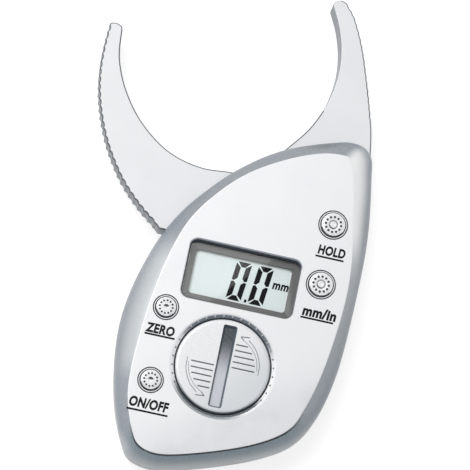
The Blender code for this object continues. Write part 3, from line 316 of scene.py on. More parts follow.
def smooth_path(points, count=None, per_span=12, closed=False):
    """Points on a smooth curve through the given ones."""
    given = np.array(points, dtype=float)
    if closed:
        guides = np.vstack([given[-1:], given, given[:2]])
    else:
        guides = np.vstack([2 * given[:1] - given[1:2], given, 2 * given[-1:] - given[-2:-1]])
    dense = []
    for i in range(len(guides) - 3):
        p0, p1, p2, p3 = guides[i:i + 4]
        chords = [sqrt(max(hypot(*(b - a)[:2]), 1e-6)) for a, b in ((p0, p1), (p1, p2), (p2, p3))]
        t1, t2, t3 = np.cumsum(chords)
        for t in np.linspace(t1, t2, per_span, endpoint=False):
            a1 = p0 * (t1 - t) / t1 + p1 * t / t1
            a2 = p1 * (t2 - t) / (t2 - t1) + p2 * (t - t1) / (t2 - t1)
            a3 = p2 * (t3 - t) / (t3 - t2) + p3 * (t - t2) / (t3 - t2)
            b1 = a1 * (t2 - t) / t2 + a2 * t / t2
            b2 = a2 * (t3 - t) / (t3 - t1) + a3 * (t - t1) / (t3 - t1)
            dense.append(b1 * (t2 - t) / (t2 - t1) + b2 * (t - t1) / (t2 - t1))
    if closed:
        return np.array(dense)
    dense = np.array(dense + [given[-1]])
    if count is None:
        return dense
    steps = np.hypot(*np.diff(dense[:, :2], axis=0).T)
    along = np.concatenate([[0.0], np.cumsum(steps)])
    wanted = np.linspace(0.0, along[-1], count)
    return np.stack([np.interp(wanted, along, column) for column in dense.T], axis=1)


def outward(path, closed=True):
    """Unit normals on the right-hand side of a path, which is outside an anticlockwise loop."""
    if closed:
        tangent = np.roll(path, -1, axis=0) - np.roll(path, 1, axis=0)
    else:
        tangent = np.gradient(path, axis=0)
    length = np.hypot(tangent[:, 0], tangent[:, 1])[:, None]
    return np.stack([tangent[:, 1], -tangent[:, 0]], axis=1) / length


def inside_box(points):
    """Keep points within the CAD model's box, which a finer curve could pass by a hair."""
    return [tuple(min(max(v, lo), hi) for v, lo, hi in zip(p, *BOX)) for p in points]


def fade(value, start, end):
    """0 before start and 1 after end, with a smooth change between."""
    t = np.clip((value - start) / (end - start), 0.0, 1.0)
    return t * t * (3 - 2 * t)


# Each row is the widest line's point and the point of the face's edge beside it.
HOUSING = (
    (-10.1, 14.8, -8.0, 12.05), (-18.4, 6.1, -15.8, 4.0), (-25.4, -3.4, -22.0, -5.4),
    (-31.3, -16.9, -26.1, -18.4), (-35.2, -37.5, -28.9, -37.4), (-32.3, -59.1, -29.0, -58.4),
    (-27.4, -71.6, -24.9, -70.1), (-24.5, -75.6, -22.6, -72.8), (-18.2, -77.2, -17.9, -74.0),
    (-12.6, -76.5, -12.2, -73.2), (10.8, -68.5, 9.5, -65.5), (21.3, -61.9, 18.45, -59.2),
    (25.7, -54.5, 21.6, -52.65), (29.3, -41.0, 24.85, -40.2), (31.0, -15.5, 27.35, -15.5),
    (30.9, 3.1, 25.6, 2.3), (28.7, 20.5, 22.7, 18.7), (27.5, 26.6, 21.6, 21.8),
    (24.8, 29.3, 20.2, 23.5), (20.8, 29.9, 17.6, 23.8), (16.0, 28.8, 13.3, 23.2),
    (1.1, 22.9, 2.75, 18.95),
)
LOOP = smooth_path(HOUSING, closed=True)
print("points round the housing:", len(LOOP))

# %% [markdown]
# ## Materials: masks in a node tree
#
# A finish is mixed from colours by masks. A mask is a value that says how much of the second colour
# shows at a point. Written node by node, such a mix is long and hard to follow. A small class wraps a
# value socket, so that masks can be added, multiplied and ramped in a line of plain arithmetic. Each
# step still becomes an ordinary node that can be looked at in the shader editor.

# %% Masks


def add_node(tree, kind, links=(), **settings):
    """Add a node, set its properties and inputs, and link (output, input) pairs to it."""
    node = tree.nodes.new(kind)
    for key, value in settings.items():
        if key in node.inputs:
            node.inputs[key].default_value = value
        else:
            setattr(node, key, value)
    for source, socket in links:
        tree.links.new(getattr(source, "socket", source), node.inputs[socket])
    return node


def maths(operation, *items):
    """A Math node whose inputs are numbers or masks."""
    tree = [item.tree for item in items if isinstance(item, Mask)][0]
    node = add_node(tree, "ShaderNodeMath", operation=operation)
    for slot, item in enumerate(items):
        if isinstance(item, Mask):
            tree.links.new(item.socket, node.inputs[slot])
        else:
            node.inputs[slot].default_value = item
    return Mask(tree, node.outputs[0])


class Mask:
    """A value in a node tree. The sign | takes the larger of two masks."""

    def __init__(self, tree, socket):
        self.tree, self.socket = tree, socket

    def __add__(self, other):
        return maths("ADD", self, other)

    def __sub__(self, other):
        return maths("SUBTRACT", self, other)

    def __rsub__(self, other):
        return maths("SUBTRACT", other, self)

    def __mul__(self, other):
        return maths("MULTIPLY", self, other)

    def __or__(self, other):
        return maths("MAXIMUM", self, other)

    def ramp(self, low, high, to_low=0.0, to_high=1.0):
        """Smoothly map one range to another: 0 at low and 1 at high, whichever is the larger."""
        node = add_node(self.tree, "ShaderNodeMapRange", [(self, "Value")],
                        interpolation_type="SMOOTHSTEP")
        limits = {"From Min": low, "From Max": high, "To Min": to_low, "To Max": to_high}
        for key, number in limits.items():
            node.inputs[key].default_value = number
        return Mask(self.tree, node.outputs["Result"])

    def mix(self, first, second):
        """Mix two colours, each a socket or an RGB triple."""
        node = add_node(self.tree, "ShaderNodeMix", [(self, "Factor")], data_type="RGBA")
        for name, item in (("A", first), ("B", second)):
            socket = [s for s in node.inputs if s.name == name and s.type == "RGBA"][0]
            if isinstance(item, tuple):
                socket.default_value = (*item, 1.0)
            else:
                self.tree.links.new(item, socket)
        return [s for s in node.outputs if s.type == "RGBA"][0]


print("masks ready")

# %% [markdown]
# ## Materials: shared effects
#
# Real moulded plastic is never one flat colour. The mould leaves a fine spark-eroded grain, a silver
# paint has tiny flakes that catch the light, and handling leaves slightly duller patches. These three
# effects are built once, as a shader node group with named inputs and outputs, and placed in each
# material with its own values. The group gives out only masks, values and a normal; the shader itself
# stays in each material.

# %% A node group for moulded and painted surfaces
GROUP_INPUTS = ("Grain Size", "Grain Depth", "Roughness", "Roughness Change")
GROUP_OUTPUTS = {"Mottle": "Float", "Flake": "Float", "Roughness": "Float", "Normal": "Vector"}
PATCH_SCALE = 90.0


def build_surface_group():
    """Grain, flake and handling marks, from object coordinates."""
    group = bpy.data.node_groups.new("moulded_surface", "ShaderNodeTree")
    for name in GROUP_INPUTS:
        group.interface.new_socket(name, in_out="INPUT", socket_type="NodeSocketFloat")
    for name, kind in GROUP_OUTPUTS.items():
        group.interface.new_socket(name, in_out="OUTPUT", socket_type="NodeSocket" + kind)
    source = add_node(group, "NodeGroupInput")
    size, depth, rough, spread = [Mask(group, source.outputs[name]) for name in GROUP_INPUTS]
    place = add_node(group, "ShaderNodeTexCoord").outputs["Object"]
    per_metre = maths("DIVIDE", 1000.0, size)
    grain = add_node(group, "ShaderNodeTexNoise", [(place, "Vector"), (per_metre, "Scale")], Detail=3.0)
    flake = add_node(group, "ShaderNodeTexVoronoi", [(place, "Vector"), (per_metre, "Scale")])
    patches = add_node(group, "ShaderNodeTexNoise", [(place, "Vector")], Scale=PATCH_SCALE, Detail=4.0)
    bump = add_node(group, "ShaderNodeBump", [(grain.outputs["Fac"], "Height"), (depth, "Strength")],
                    Distance=0.0001)
    wander = [(Mask(group, noise.outputs["Fac"]) - 0.5) * spread for noise in (patches, grain)]
    add_node(group, "NodeGroupOutput", [
        (patches.outputs["Fac"], "Mottle"), (flake.outputs["Color"], "Flake"),
        (rough + (wander[0] + wander[1]) * 2.0, "Roughness"), (bump.outputs["Normal"], "Normal")])
    return group


SURFACE = build_surface_group()
print("node group:", SURFACE.name, "with", len(SURFACE.nodes), "nodes")

# %% [markdown]
# ## Materials: a recipe for each plain finish
#
# A plain finish is a base colour with a slightly lighter and darker tone, a roughness and a depth of
# grain. One class places the shared group and holds its masks, and one function spreads the two tones
# by the mottle mask, so that each further finish is a single line.

# %% Plain finishes
WHITE = (1.0, 1.0, 1.0)
MOTTLE_RANGE = (0.35, 0.65)
FLAKE_RANGE = (0.1, 0.9)


def place_surface(tree, grain, depth, roughness, change):
    """The shared group with its own values."""
    group = add_node(tree, "ShaderNodeGroup", node_tree=SURFACE)
    for key, number in zip(GROUP_INPUTS, (grain, depth, roughness, change)):
        group.inputs[key].default_value = number
    return group


def new_material(name):
    """A material and its node tree."""
    made = bpy.data.materials.new(name)
    made.use_nodes = True
    return made, made.node_tree


class Paint:
    """A material with the shared surface in place, and the masks that its colour is mixed by."""

    def __init__(self, name, roughness, grain=0.30, depth=0.08, change=0.05, **settings):
        self.material, self.tree = new_material(name)
        self.shader = self.tree.nodes["Principled BSDF"]
        for key, number in settings.items():
            self.shader.inputs[key.replace("_", " ")].default_value = number
        group = place_surface(self.tree, grain, depth, roughness, change)
        for key in ("Roughness", "Normal"):
            self.tree.links.new(group.outputs[key], self.shader.inputs[key])
        self.mottle, self.flake = [Mask(self.tree, group.outputs[key]) for key in ("Mottle", "Flake")]

    def axes(self):
        """The three object coordinates in millimetres."""
        place = add_node(self.tree, "ShaderNodeTexCoord").outputs["Object"]
        split = add_node(self.tree, "ShaderNodeSeparateXYZ", [(place, "Vector")])
        return [Mask(self.tree, split.outputs[axis]) * 1000.0 for axis in "XYZ"]

    def finished(self, colour, speckle=0.0):
        """The material with its colour, under a share of white flakes."""
        if speckle:
            colour = self.flake.ramp(*FLAKE_RANGE, 0.0, speckle).mix(colour, WHITE)
        self.tree.links.new(colour, self.shader.inputs["Base Color"])
        return self.material


def finish(name, colour, roughness, grain=0.3, depth=0.1, spread=0.04, **settings):
    """A finish whose colour wanders a little round the given one."""
    paint = Paint(name, roughness, grain, depth, **settings)
    light = tuple(min(c * (1 + spread), 1.0) for c in colour)
    dark = tuple(c * (1 - spread) for c in colour)
    return paint.finished(paint.mottle.ramp(*MOTTLE_RANGE).mix(dark, light))


PLAIN = {
    "steel": finish("steel", (0.60, 0.61, 0.63), 0.28, 0.2, 0.15, Metallic=1.0),
    "spring_metal": finish("spring_metal", (0.72, 0.64, 0.46), 0.32, 0.25, 0.12, Metallic=1.0),
    "black_plastic": finish("black_plastic", (0.03, 0.03, 0.032), 0.45, depth=0.2),
    "gear_plastic": finish("gear_plastic", (0.78, 0.77, 0.72), 0.42),
    "zebra_rubber": finish("zebra_rubber", (0.22, 0.21, 0.21), 0.7, depth=0.2),
    "board_green": finish("board_green", (0.04, 0.20, 0.09), 0.4, 0.5, 0.2, 0.2),
    "print_black": finish("print_black", (0.008, 0.008, 0.009), 0.5, 0.2, 0.05,
                          Specular_IOR_Level=0.15),
    "lcd_ink": finish("lcd_ink", (0.004, 0.004, 0.005), 0.4, 0.2, 0.03, Specular_IOR_Level=0.1),
}
SLOT_OF = {row["node"]: row["material_slot"] for row in frame["record"]["subparts"]}


def paint_node(node_name, look):
    """Give a CAD node that stays in view a finish."""
    for socket in frame["nodes"][node_name].material_slots:
        socket.material = look


for node_name in frame["nodes"]:
    if SLOT_OF[node_name] in PLAIN:
        paint_node(node_name, PLAIN[SLOT_OF[node_name]])
print("plain finishes:", sorted(PLAIN))

# %% [markdown]
# ## The silver housing's paint
#
# The real housing is one moulding, but it reads as two tones: a bright face, and a blue-grey sloping
# rim round it. Round the bottom, down the left and along the jaws the two meet at a crisp step; at the
# upper right the grey fades softly into the face. A painter would mask the crisp parts and mist the
# soft ones. Over the rim's grey lie painted shade and painted light: it is paler down both sides and
# darker at the top, most of all beside the fixed jaw's root. A painted shadow lies in the crisp step
# along the bottom, the face is painted greyer towards its lower end, and a painted highlight lightens
# the misted slope at the upper right.
#
# The material does the same from the object's own coordinates. Height tells how far down the rim a
# point lies, and its place round the housing tells its tone and whether the border is crisp or misted.
# Because the masks are read from the object and not from the camera, the paint stays put in every view.

# %% Two-tone silver paint
FACE_COLOUR = (0.87, 0.88, 0.895)
# The face's lower end is painted greyer, as painted shade.
FACE_SHADE_LOWER = (0.69, 0.705, 0.735)
FACE_PATCH = (0.83, 0.845, 0.87)
# A painted highlight on the misted slope at the upper right.
SLOPE_HIGHLIGHT = (0.96, 0.965, 0.97)
# Each rim tone is an outer and an inner grey. Over the grey paint they add painted shade and painted
# light, which change down the slope and round the housing.
RIM_GREY_AND_SHADE = {
    "plain": ((0.29, 0.335, 0.385), (0.34, 0.37, 0.41)),
    "pale": ((0.35, 0.38, 0.42), (0.565, 0.595, 0.62)),
    "upper": ((0.20, 0.235, 0.275), (0.29, 0.315, 0.345)),
    "lower": ((0.46, 0.51, 0.55), (0.20, 0.26, 0.30)),
    "corner": ((0.15, 0.175, 0.20), (0.335, 0.36, 0.385)),
}
# A painted shadow in the crisp step along the bottom.
STEP_SHADOW_COLOUR = (0.02, 0.03, 0.04)
SPECKLE = 0.08


def rim_paint_and_shade_masks(x, y):
    """Where the border is misted, and where the rim takes each of its further tones of painted shade
    and light.
    """
    rightward = x - y * 0.6
    misted = y.ramp(-14.0, 3.0) * rightward.ramp(4.0, 8.0)
    left = y.ramp(-57.0, -47.0) * y.ramp(-8.0, -20.0) * x.ramp(-22.0, -25.0)
    right = y.ramp(-50.0, 0.0, 0.0, 0.6) * x.ramp(15.0, 20.0)
    upper = y.ramp(-16.0, -5.0) * (1.0 - rightward.ramp(4.0, 8.0))
    along = y - x * 0.36
    lower = along.ramp(-60.0, -69.0) | along.ramp(-57.0, -64.0) * x.ramp(-15.0, -22.0)
    corner = x.ramp(4.0, 14.0) * rightward.ramp(3.0, -3.0)
    return misted, {"pale": left | right, "upper": upper, "lower": lower, "corner": upper * corner}


def build_silver():
    """Bright face, grey rim, painted shade and light on both, a painted shadow in the crisp step, and
    flakes over all of it.
    """
    paint = Paint("silver_plastic", 0.36, depth=0.06, Metallic=0.1)
    x, y, z = paint.axes()
    misted, masks = rim_paint_and_shade_masks(x, y)
    slow = y.ramp(3.0, 18.0) * y.ramp(30.0, 26.0)
    soft = slow * z.ramp(16.0, 19.9) + (1.0 - slow) * z.ramp(17.2, 20.0)
    face = z.ramp(19.86, 19.94) * (1.0 - misted) + soft * misted
    upward = {key: z.ramp(15.8, 19.5) for key in RIM_GREY_AND_SHADE} | {"corner": z.ramp(17.6, 20.0)}
    # The rim's grey, with painted shade and painted light down its slope and round the housing.
    rim = upward["plain"].mix(*RIM_GREY_AND_SHADE["plain"])
    for key, mask in masks.items():
        rim = mask.mix(rim, upward[key].mix(*RIM_GREY_AND_SHADE[key]))
    # Painted shadow in the crisp step along the bottom.
    line = z.ramp(19.38, 19.50) * z.ramp(19.93, 19.88) * masks["lower"]
    rim = line.mix(rim, STEP_SHADOW_COLOUR)
    # Painted shade towards the face's lower end.
    bright = (y - x * 0.6).ramp(-50.0, -68.0).mix(FACE_COLOUR, FACE_SHADE_LOWER)
    bright = paint.mottle.ramp(*MOTTLE_RANGE, 0.0, 0.5).mix(bright, FACE_PATCH)
    # Painted highlight on the misted slope.
    slope = misted * z.ramp(17.5, 18.5) * z.ramp(20.0, 19.93)
    return paint.finished(face.mix(rim, slope.mix(bright, SLOPE_HIGHLIGHT)), SPECKLE)


def shaded_along(name, light, dark, low, high, roughness=0.36):
    """A finish with painted light and shade that go from one tone to another along the caliper, from
    low to high in y.
    """
    paint = Paint(name, roughness)
    return paint.finished(paint.axes()[1].ramp(low, high).mix(light, dark), 0.06)


def round_door(paint):
    """A point's place across and along from the battery's middle, and its distance from there."""
    x, y = paint.axes()[:2]
    across, along = x - BATTERY[0], y - BATTERY[1]
    return across, along, maths("SQRT", across * across + along * along)


def build_dish_shade():
    """The ring round the battery door, with painted shade: slate above the door, close under it and
    further below it, pale elsewhere.
    """
    paint = Paint("dish_painted_shade", 0.36)
    across, along, reach = round_door(paint)
    # Painted shade above the door, close under it, and below it.
    above = along.ramp(4.0, 10.0) * reach.ramp(14.75, 15.25, 1.0, 0.1)
    below = along.ramp(-5.0, -10.0) * reach.ramp(14.95, 14.6)
    outside = (along + across * 0.25).ramp(-9.0, -14.5, 0.0, 0.72)
    colour = (above | outside).mix((0.87, 0.88, 0.90), (0.12, 0.15, 0.18))
    return paint.finished(below.mix(colour, (0.05, 0.065, 0.08)), SPECKLE)


SILVER = build_silver()
BACK_SILVER = finish("back_silver_plastic", (0.62, 0.63, 0.65), 0.40, 0.35, spread=0.03)
JAW = finish("jaw_plastic", (0.815, 0.825, 0.845), 0.34, depth=0.05, spread=0.012)
# Painted shade: the jaws' walls and their rounded upper edges are darker than their tops.
JAW_WALL_SHADE = finish("jaw_wall_shade", (0.33, 0.36, 0.39), 0.40, depth=0.08, spread=0.03)
JAW_EDGE_SHADE = finish("jaw_edge_shade", (0.12, 0.13, 0.145), 0.40, depth=0.08, spread=0.03)
SHADE = finish("shade_silver", (0.045, 0.052, 0.06), 0.5)
# Painted shade in the gap round the battery door, lighter towards the top.
GAP_SHADE = shaded_along("gap_painted_shade", (0.14, 0.16, 0.185), (0.42, 0.47, 0.52), -45.0, -38.5, 0.5)
# Painted shade on the display opening's walls and lip, darkest along the top.
OPENING_SHADE = shaded_along("opening_shade", (0.32, 0.35, 0.38), (0.015, 0.028, 0.042), -13.2, -11.4, 0.6)
OPENING_LIP_SHADE = shaded_along("opening_lip_shade", (0.84, 0.85, 0.87), (0.30, 0.33, 0.37), -13.2, -11.4)
DISH_SHADE = build_dish_shade()
print("housing paint:", SILVER.name)

# %% [markdown]
# ## The housing's skin
#
# Both halves are lofts: the widest outline at the parting line, drawn in ring by ring until it meets
# the edge of the flat face. A loft follows the designer's curves exactly, which a bevelled extrusion
# could not, because the rim is three times wider in some places than in others. The rings near the
# face carry a small step whose depth fades out where the paint is misted, so that the crisp border is
# a real edge.

# %% Rings of the housing
# Each row is a part of the way from the parting line to the face, and a share of the way from the
# widest line in to the face's edge. The border's rows add the depth of the step.
FRONT_PROFILE = ((0.0, 0.03), (0.30, 0.0), (0.56, 0.12), (0.76, 0.38), (0.90, 0.72))
FRONT_BORDER = ((0.95, 0.88, 0.05), (0.985, 0.985, 0.27), (0.988, 1.0, 0.31), (0.994, 1.02, 0.0),
                (1.0, 1.08, 0.0))
FRONT_ROOM = ((0.0, 0.03), (0.36, 0.02), (0.70, 0.28), (1.0, 1.05))
BACK_PROFILE = ((0.0, 0.03), (0.30, 0.02), (0.60, 0.14), (0.80, 0.34), (0.93, 0.62), (1.0, 0.86))
BACK_ROOM = ((0.0, 0.03), (0.45, 0.06), (0.80, 0.34), (1.0, 0.80))


def crispness(x, y):
    """How deep the step is: whole along the bottom, shallow elsewhere, and none where misted."""
    misted = fade(y, -14.0, 3.0) * fade(x - 0.6 * y, 4.0, 8.0)
    lower = 1 - fade(y - 0.36 * x, -69.0, -60.0)
    return (1 - misted) * (0.35 + 0.65 * lower)


STEP_SHARE = crispness(LOOP[:, 2], LOOP[:, 3])


def housing_ring(share, height, inset=0.0, drop=0.0):
    """The outline, moved a share of the way from the widest line to the face's edge."""
    widest = LOOP[:, :2] - outward(LOOP[:, :2]) * inset
    face = LOOP[:, 2:] - outward(LOOP[:, 2:]) * inset / 2
    flat = widest * (1 - share) + face * share
    lowered = height - drop * STEP_SHARE
    return inside_box([(x, y, z) for (x, y), z in zip(flat, lowered)])


def housing_rings(profile, mouth, end, inset=0.0, overshoot=0.0, fine=True):
    """Rings from a half's mouth to its face, lowest first."""
    rows = smooth_path(profile, per_span=3) if fine else np.array(profile)
    rings = [housing_ring(share, mouth + (end - mouth) * part, inset) for part, share in rows]
    if overshoot:
        rings.insert(0, housing_ring(profile[0][1], mouth - (end - mouth) * overshoot, inset))
    return rings if end > mouth else rings[::-1]


print("crisp share of the border:", round(float(STEP_SHARE.mean()), 2))

# %% [markdown]
# ## The front half
#
# Inside, the front half carries what the CAD model has: a post over the pivot, screw posts and the
# battery well. They are joined on before the openings are cut. Outside it gets what shows close up: a
# bevelled display opening, a hole and a fine ring groove for each button, and a dished ring round the
# battery door. The walls of these openings get darker tones, because they lie in the face's shade.

# %% Build the front half
JAW_SCREWS = ((11.4, 18.7), (19.8, 17.4))
SHELL_SCREWS = ((22.0, -31.5), (-24.6, -43.0), (-15.8, -69.8), (11.8, -58.4))
BOARD_SCREWS = ((24.0, -6.6), (-25.0, -21.2), (-21.2, -63.6), (19.2, -47.0))
PIVOT_POST, BOSS_RADIUS, BOARD_BOSS = 4.5, 3.3, 1.9
PIVOT_POST_BOTTOM, BOARD_BOSS_BOTTOM = 13.3, 13.8
SHELL_BORE, BOARD_BORE = 1.3, 0.9
FRONT_FOOT = PARTING + PARTING_GAP / 2
BACK_FOOT = PARTING - PARTING_GAP / 2
WELL_BOTTOM, WELL_INSIDE = 9.75, 10.75
CELL_ROOM = (10.4, 14.6)
DISH_RADIUS = 15.5
LUG_INNER, LUG_NOTCH_OUTER = 9.7, 13.85
LUG_NOTCH_ARC = (radians(42), radians(78))
OPENING_STEPS = ((0.2, 0.0, 16.5), (0.2, 0.0, 19.15), (0.22, 0.05, 19.3), (0.30, 0.30, 19.8),
                 (0.52, 0.45, 19.97), (0.62, 0.5, 20.1))
BUTTON_HOLE = ((0.8, 16.5), (0.8, 17.9), (HOLE_GAP, 18.0), (HOLE_GAP, 19.85),
               (HOLE_GAP + 0.05, 19.97), (HOLE_GAP + 0.08, 20.1))
GROOVE_REACH = 0.86
LIP_BOTTOM = 19.82
BUTTON_GROOVE = ((0.45, 19.95), (0.46, 19.65), (0.79, 19.65), (0.81, 20.1), (0.45, 20.1))
JAW_TIP = (-52.9, 49.0)
NOTCH = ((24.0, 18.0), (26.0, 23.6), (27.75, 27.3), (30.0, 33.0), (6.0, 33.0), (3.0, 27.0),
         (0.5, 23.0), (0.5, 18.0))


def columns(bm, places, radius, bottom, top):
    """The same upright cylinder at several places."""
    for place in places:
        column(bm, radius, bottom, top, place)


def front_posts(bm):
    """What stands on the inside of the face."""
    column(bm, PIVOT_POST, PIVOT_POST_BOTTOM, BODY_DEPTH)
    columns(bm, JAW_SCREWS, BOSS_RADIUS, JAW_TOP + SEAT_GAP, BODY_DEPTH)
    columns(bm, SHELL_SCREWS, BOSS_RADIUS, FRONT_FOOT, BODY_DEPTH)
    columns(bm, BOARD_SCREWS, BOARD_BOSS, BOARD_BOSS_BOTTOM, BODY_DEPTH)
    column(bm, WELL_RADIUS, WELL_BOTTOM, BODY_DEPTH, BATTERY, 96)


def well_room(bm):
    """The battery well's room, with the dished ring at its mouth."""
    lug_room = DOOR_NECK + LUG_REACH + DOOR_GAP
    neck = DOOR_NECK + DOOR_GAP
    mouth = DOOR_RADIUS + DOOR_GAP
    turned_solid(bm, ((CELL_ROOM[0], WELL_INSIDE), CELL_ROOM, (lug_room, CELL_ROOM[1]),
                      (lug_room, LEDGE_BOTTOM), (neck, LEDGE_BOTTOM), (neck, LEDGE_TOP),
                      (mouth, LEDGE_TOP), (mouth, 19.35), (mouth + 0.35, 19.5),
                      (DISH_RADIUS, BODY_DEPTH), (DISH_RADIUS + 0.2, BODY_DEPTH + 0.1)), BATTERY, 144)


def face_cuts(bm):
    """The bevelled display opening, and the hole of each button."""
    rings = []
    for grow, extra, height in OPENING_STEPS:
        size = (WINDOW[0] + 2 * grow, WINDOW[1] + 2 * grow + extra)
        place = (DISPLAY[0], DISPLAY[1] + extra / 2)
        rings.append(level(rounded_rectangle(size, WINDOW_CORNER + grow, place), height))
    loft(bm, rings)
    for x, y, cap in BUTTONS.values():
        turned_solid(bm, [(cap + out, height) for out, height in BUTTON_HOLE], (x, y), 72)


def button_grooves(bm):
    """A fine ring groove round each button's seat."""
    for x, y, cap in BUTTONS.values():
        profile = [(cap + out, height) for out, height in BUTTON_GROOVE]
        turned_solid(bm, profile, (x, y), 72, closed=True)


def front_holes(bm):
    """Bores for the pivot pin and the screws, inside the front half."""
    column(bm, PIN_BORE, 11.0, 16.9)
    columns(bm, JAW_SCREWS, SHELL_BORE, JAW_TOP, 17.8)
    columns(bm, SHELL_SCREWS, SHELL_BORE, 8.0, 15.5)
    columns(bm, BOARD_SCREWS, BOARD_BORE, 12.6, 17.2)


def lug_notches(bm):
    """Gaps in the well's ledge that the door's lugs drop through."""
    for side in (0, pi):
        start, end = [turn + side for turn in LUG_NOTCH_ARC]
        prism(bm, sector(LUG_INNER, LUG_NOTCH_OUTER, start, end, place=BATTERY),
              LEDGE_BOTTOM - SEAT_GAP, LEDGE_TOP + SEAT_GAP)


def jaw_slot(bm):
    """The band between the halves that the moving jaw swings through."""
    prism(bm, sector(HUB_RADIUS, hypot(*JAW_TIP), *SLOT_ARC, (48, 48)),
          JAW_BOTTOM - SLOT_GAP, JAW_TOP + SLOT_GAP)


def fixed_notch(bm):
    """The notch over and under the fixed jaw."""
    prism(bm, NOTCH, JAW_BOTTOM - SLOT_GAP, JAW_TOP + SLOT_GAP)


def half_shell(name, rings, room, limit, posts):
    """Skin without its room, joined to the posts, which stop inside the wall."""
    shell = built(name, lambda bm: loft(bm, rings))
    cut_with(shell, lambda bm: loft(bm, room))
    inner = built(name + "_posts", posts)
    cut_with(inner, lambda bm: loft(bm, limit), operation="INTERSECT")
    return cut(shell, inner, "UNION")


front_rings = housing_rings(FRONT_PROFILE, FRONT_FOOT, BODY_DEPTH)
front_rings += [housing_ring(share, FRONT_FOOT + (BODY_DEPTH - FRONT_FOOT) * part, drop=drop)
                for part, share, drop in FRONT_BORDER]
front_room = housing_rings(FRONT_ROOM, FRONT_FOOT, FACE_INSIDE, SHELL_WALL, 0.25, fine=False)
front_limit = housing_rings(FRONT_PROFILE + ((1.0, 1.08),), FRONT_FOOT, BODY_DEPTH - SHELL_WALL / 2,
                            SHELL_WALL / 2, 1.0, fine=False)
front = half_shell("housing_front", front_rings, front_room, front_limit, front_posts)
cut_with(front, well_room, face_cuts, button_grooves, front_holes, lug_notches, jaw_slot, fixed_notch)
dress(front, SILVER, "housing", "front_shell")


def from_door(x, y):
    """Distance from the battery door's middle."""
    return hypot(x - BATTERY[0], y - BATTERY[1])


def in_groove(x, y, z, up):
    """True for the walls round a button: its hole and its ring groove."""
    return 18.05 < z < 19.98 and any(
        hypot(x - bx, y - by) < cap + GROOVE_REACH for bx, by, cap in BUTTONS.values())


def in_opening(x, y, z, up):
    """True for the walls and slopes round the window."""
    beside = abs(x - DISPLAY[0]) < 17.3 and abs(y - DISPLAY[1] - 0.4) < 9.8
    return beside and 16.4 < z < 19.99 and abs(up) < 0.998 and not in_groove(x, y, z, up)


tint(front, SHADE, in_groove)
# Painted shade on the opening's walls and on its lip.
tint(front, OPENING_SHADE, lambda x, y, z, up: z < LIP_BOTTOM and abs(up) < 0.95 and in_opening(x, y, z, up))
tint(front, OPENING_LIP_SHADE, lambda x, y, z, up: z >= LIP_BOTTOM and in_opening(x, y, z, up))
# Painted shade on the dished ring round the door.
tint(front, DISH_SHADE, lambda x, y, z, up: 19.36 < z < 19.99 and 14.1 < from_door(x, y) < 15.6)
tint(front, GAP_SHADE, lambda x, y, z, up: 17.1 < z < 19.36 and 13.6 < from_door(x, y) < 14.3)

# %% [markdown]
# ## The back half
#
# Nobody sees much of the back, but it is what the caliper lies on and what a repairer opens. It is the
# same loft turned downwards, with sunk holes for the case screws. Making it the same way as the front
# keeps the two halves in step along the parting line.

# %% Build the back half
ENCODER = (5.3834, -20.0913)
ENCODER_POST, AXLE_BORE = 2.4, 1.08
PIVOT_REST = 4.2
BORE_BOTTOM, BORE_TOP = 1.2, 6.2
SCREW_HOLE = ((2.9, -0.2), (2.6, 0.0), (2.4, 0.2), (2.4, 2.6), (1.5, 2.6), (1.5, 12.0))


def back_posts(bm):
    """What stands on the inside of the back."""
    column(bm, PIVOT_POST, 0.0, PIVOT_REST)
    column(bm, ENCODER_POST, 0.0, JAW_BOTTOM - SEAT_GAP, ENCODER)
    columns(bm, JAW_SCREWS, BOSS_RADIUS, 0.0, JAW_BOTTOM - SEAT_GAP)
    columns(bm, SHELL_SCREWS, BOSS_RADIUS, 0.0, BACK_FOOT)


def back_holes(bm):
    """Stepped holes for the case screws, wide at the back, and bores for the pin and the axle."""
    for place in JAW_SCREWS + SHELL_SCREWS:
        turned_solid(bm, SCREW_HOLE, place, 48)
    column(bm, PIN_BORE, BORE_BOTTOM, BORE_TOP)
    column(bm, AXLE_BORE, BORE_BOTTOM, BORE_TOP, ENCODER)


back_rings = housing_rings(BACK_PROFILE, BACK_FOOT, 0.0)
back_room = housing_rings(BACK_ROOM, BACK_FOOT, SHELL_WALL, SHELL_WALL, 0.25, fine=False)
back_limit = housing_rings(BACK_PROFILE, BACK_FOOT, SHELL_WALL / 2, SHELL_WALL / 2, 1.0, fine=False)
back = half_shell("housing_back", back_rings, back_room, back_limit, back_posts)
cut_with(back, back_holes, jaw_slot, fixed_notch)
dress(back, BACK_SILVER, "housing", "back_shell")

# %% [markdown]
# ## The jaws
#
# Each jaw is a flat crescent with a rounded edge, and a row of shallow finger scallops along its
# outside. The scallops are bumps of one pitch added to the smooth outline along its normal, before
# the outline is given its thickness. That is how the mould was cut, and it makes every bump the same.
# On the fixed jaw they are shallower, and they end a little before its root.

# %% Jaw outlines
SCALLOP_PITCH = 2.3
SCALLOP_STEPS = 10
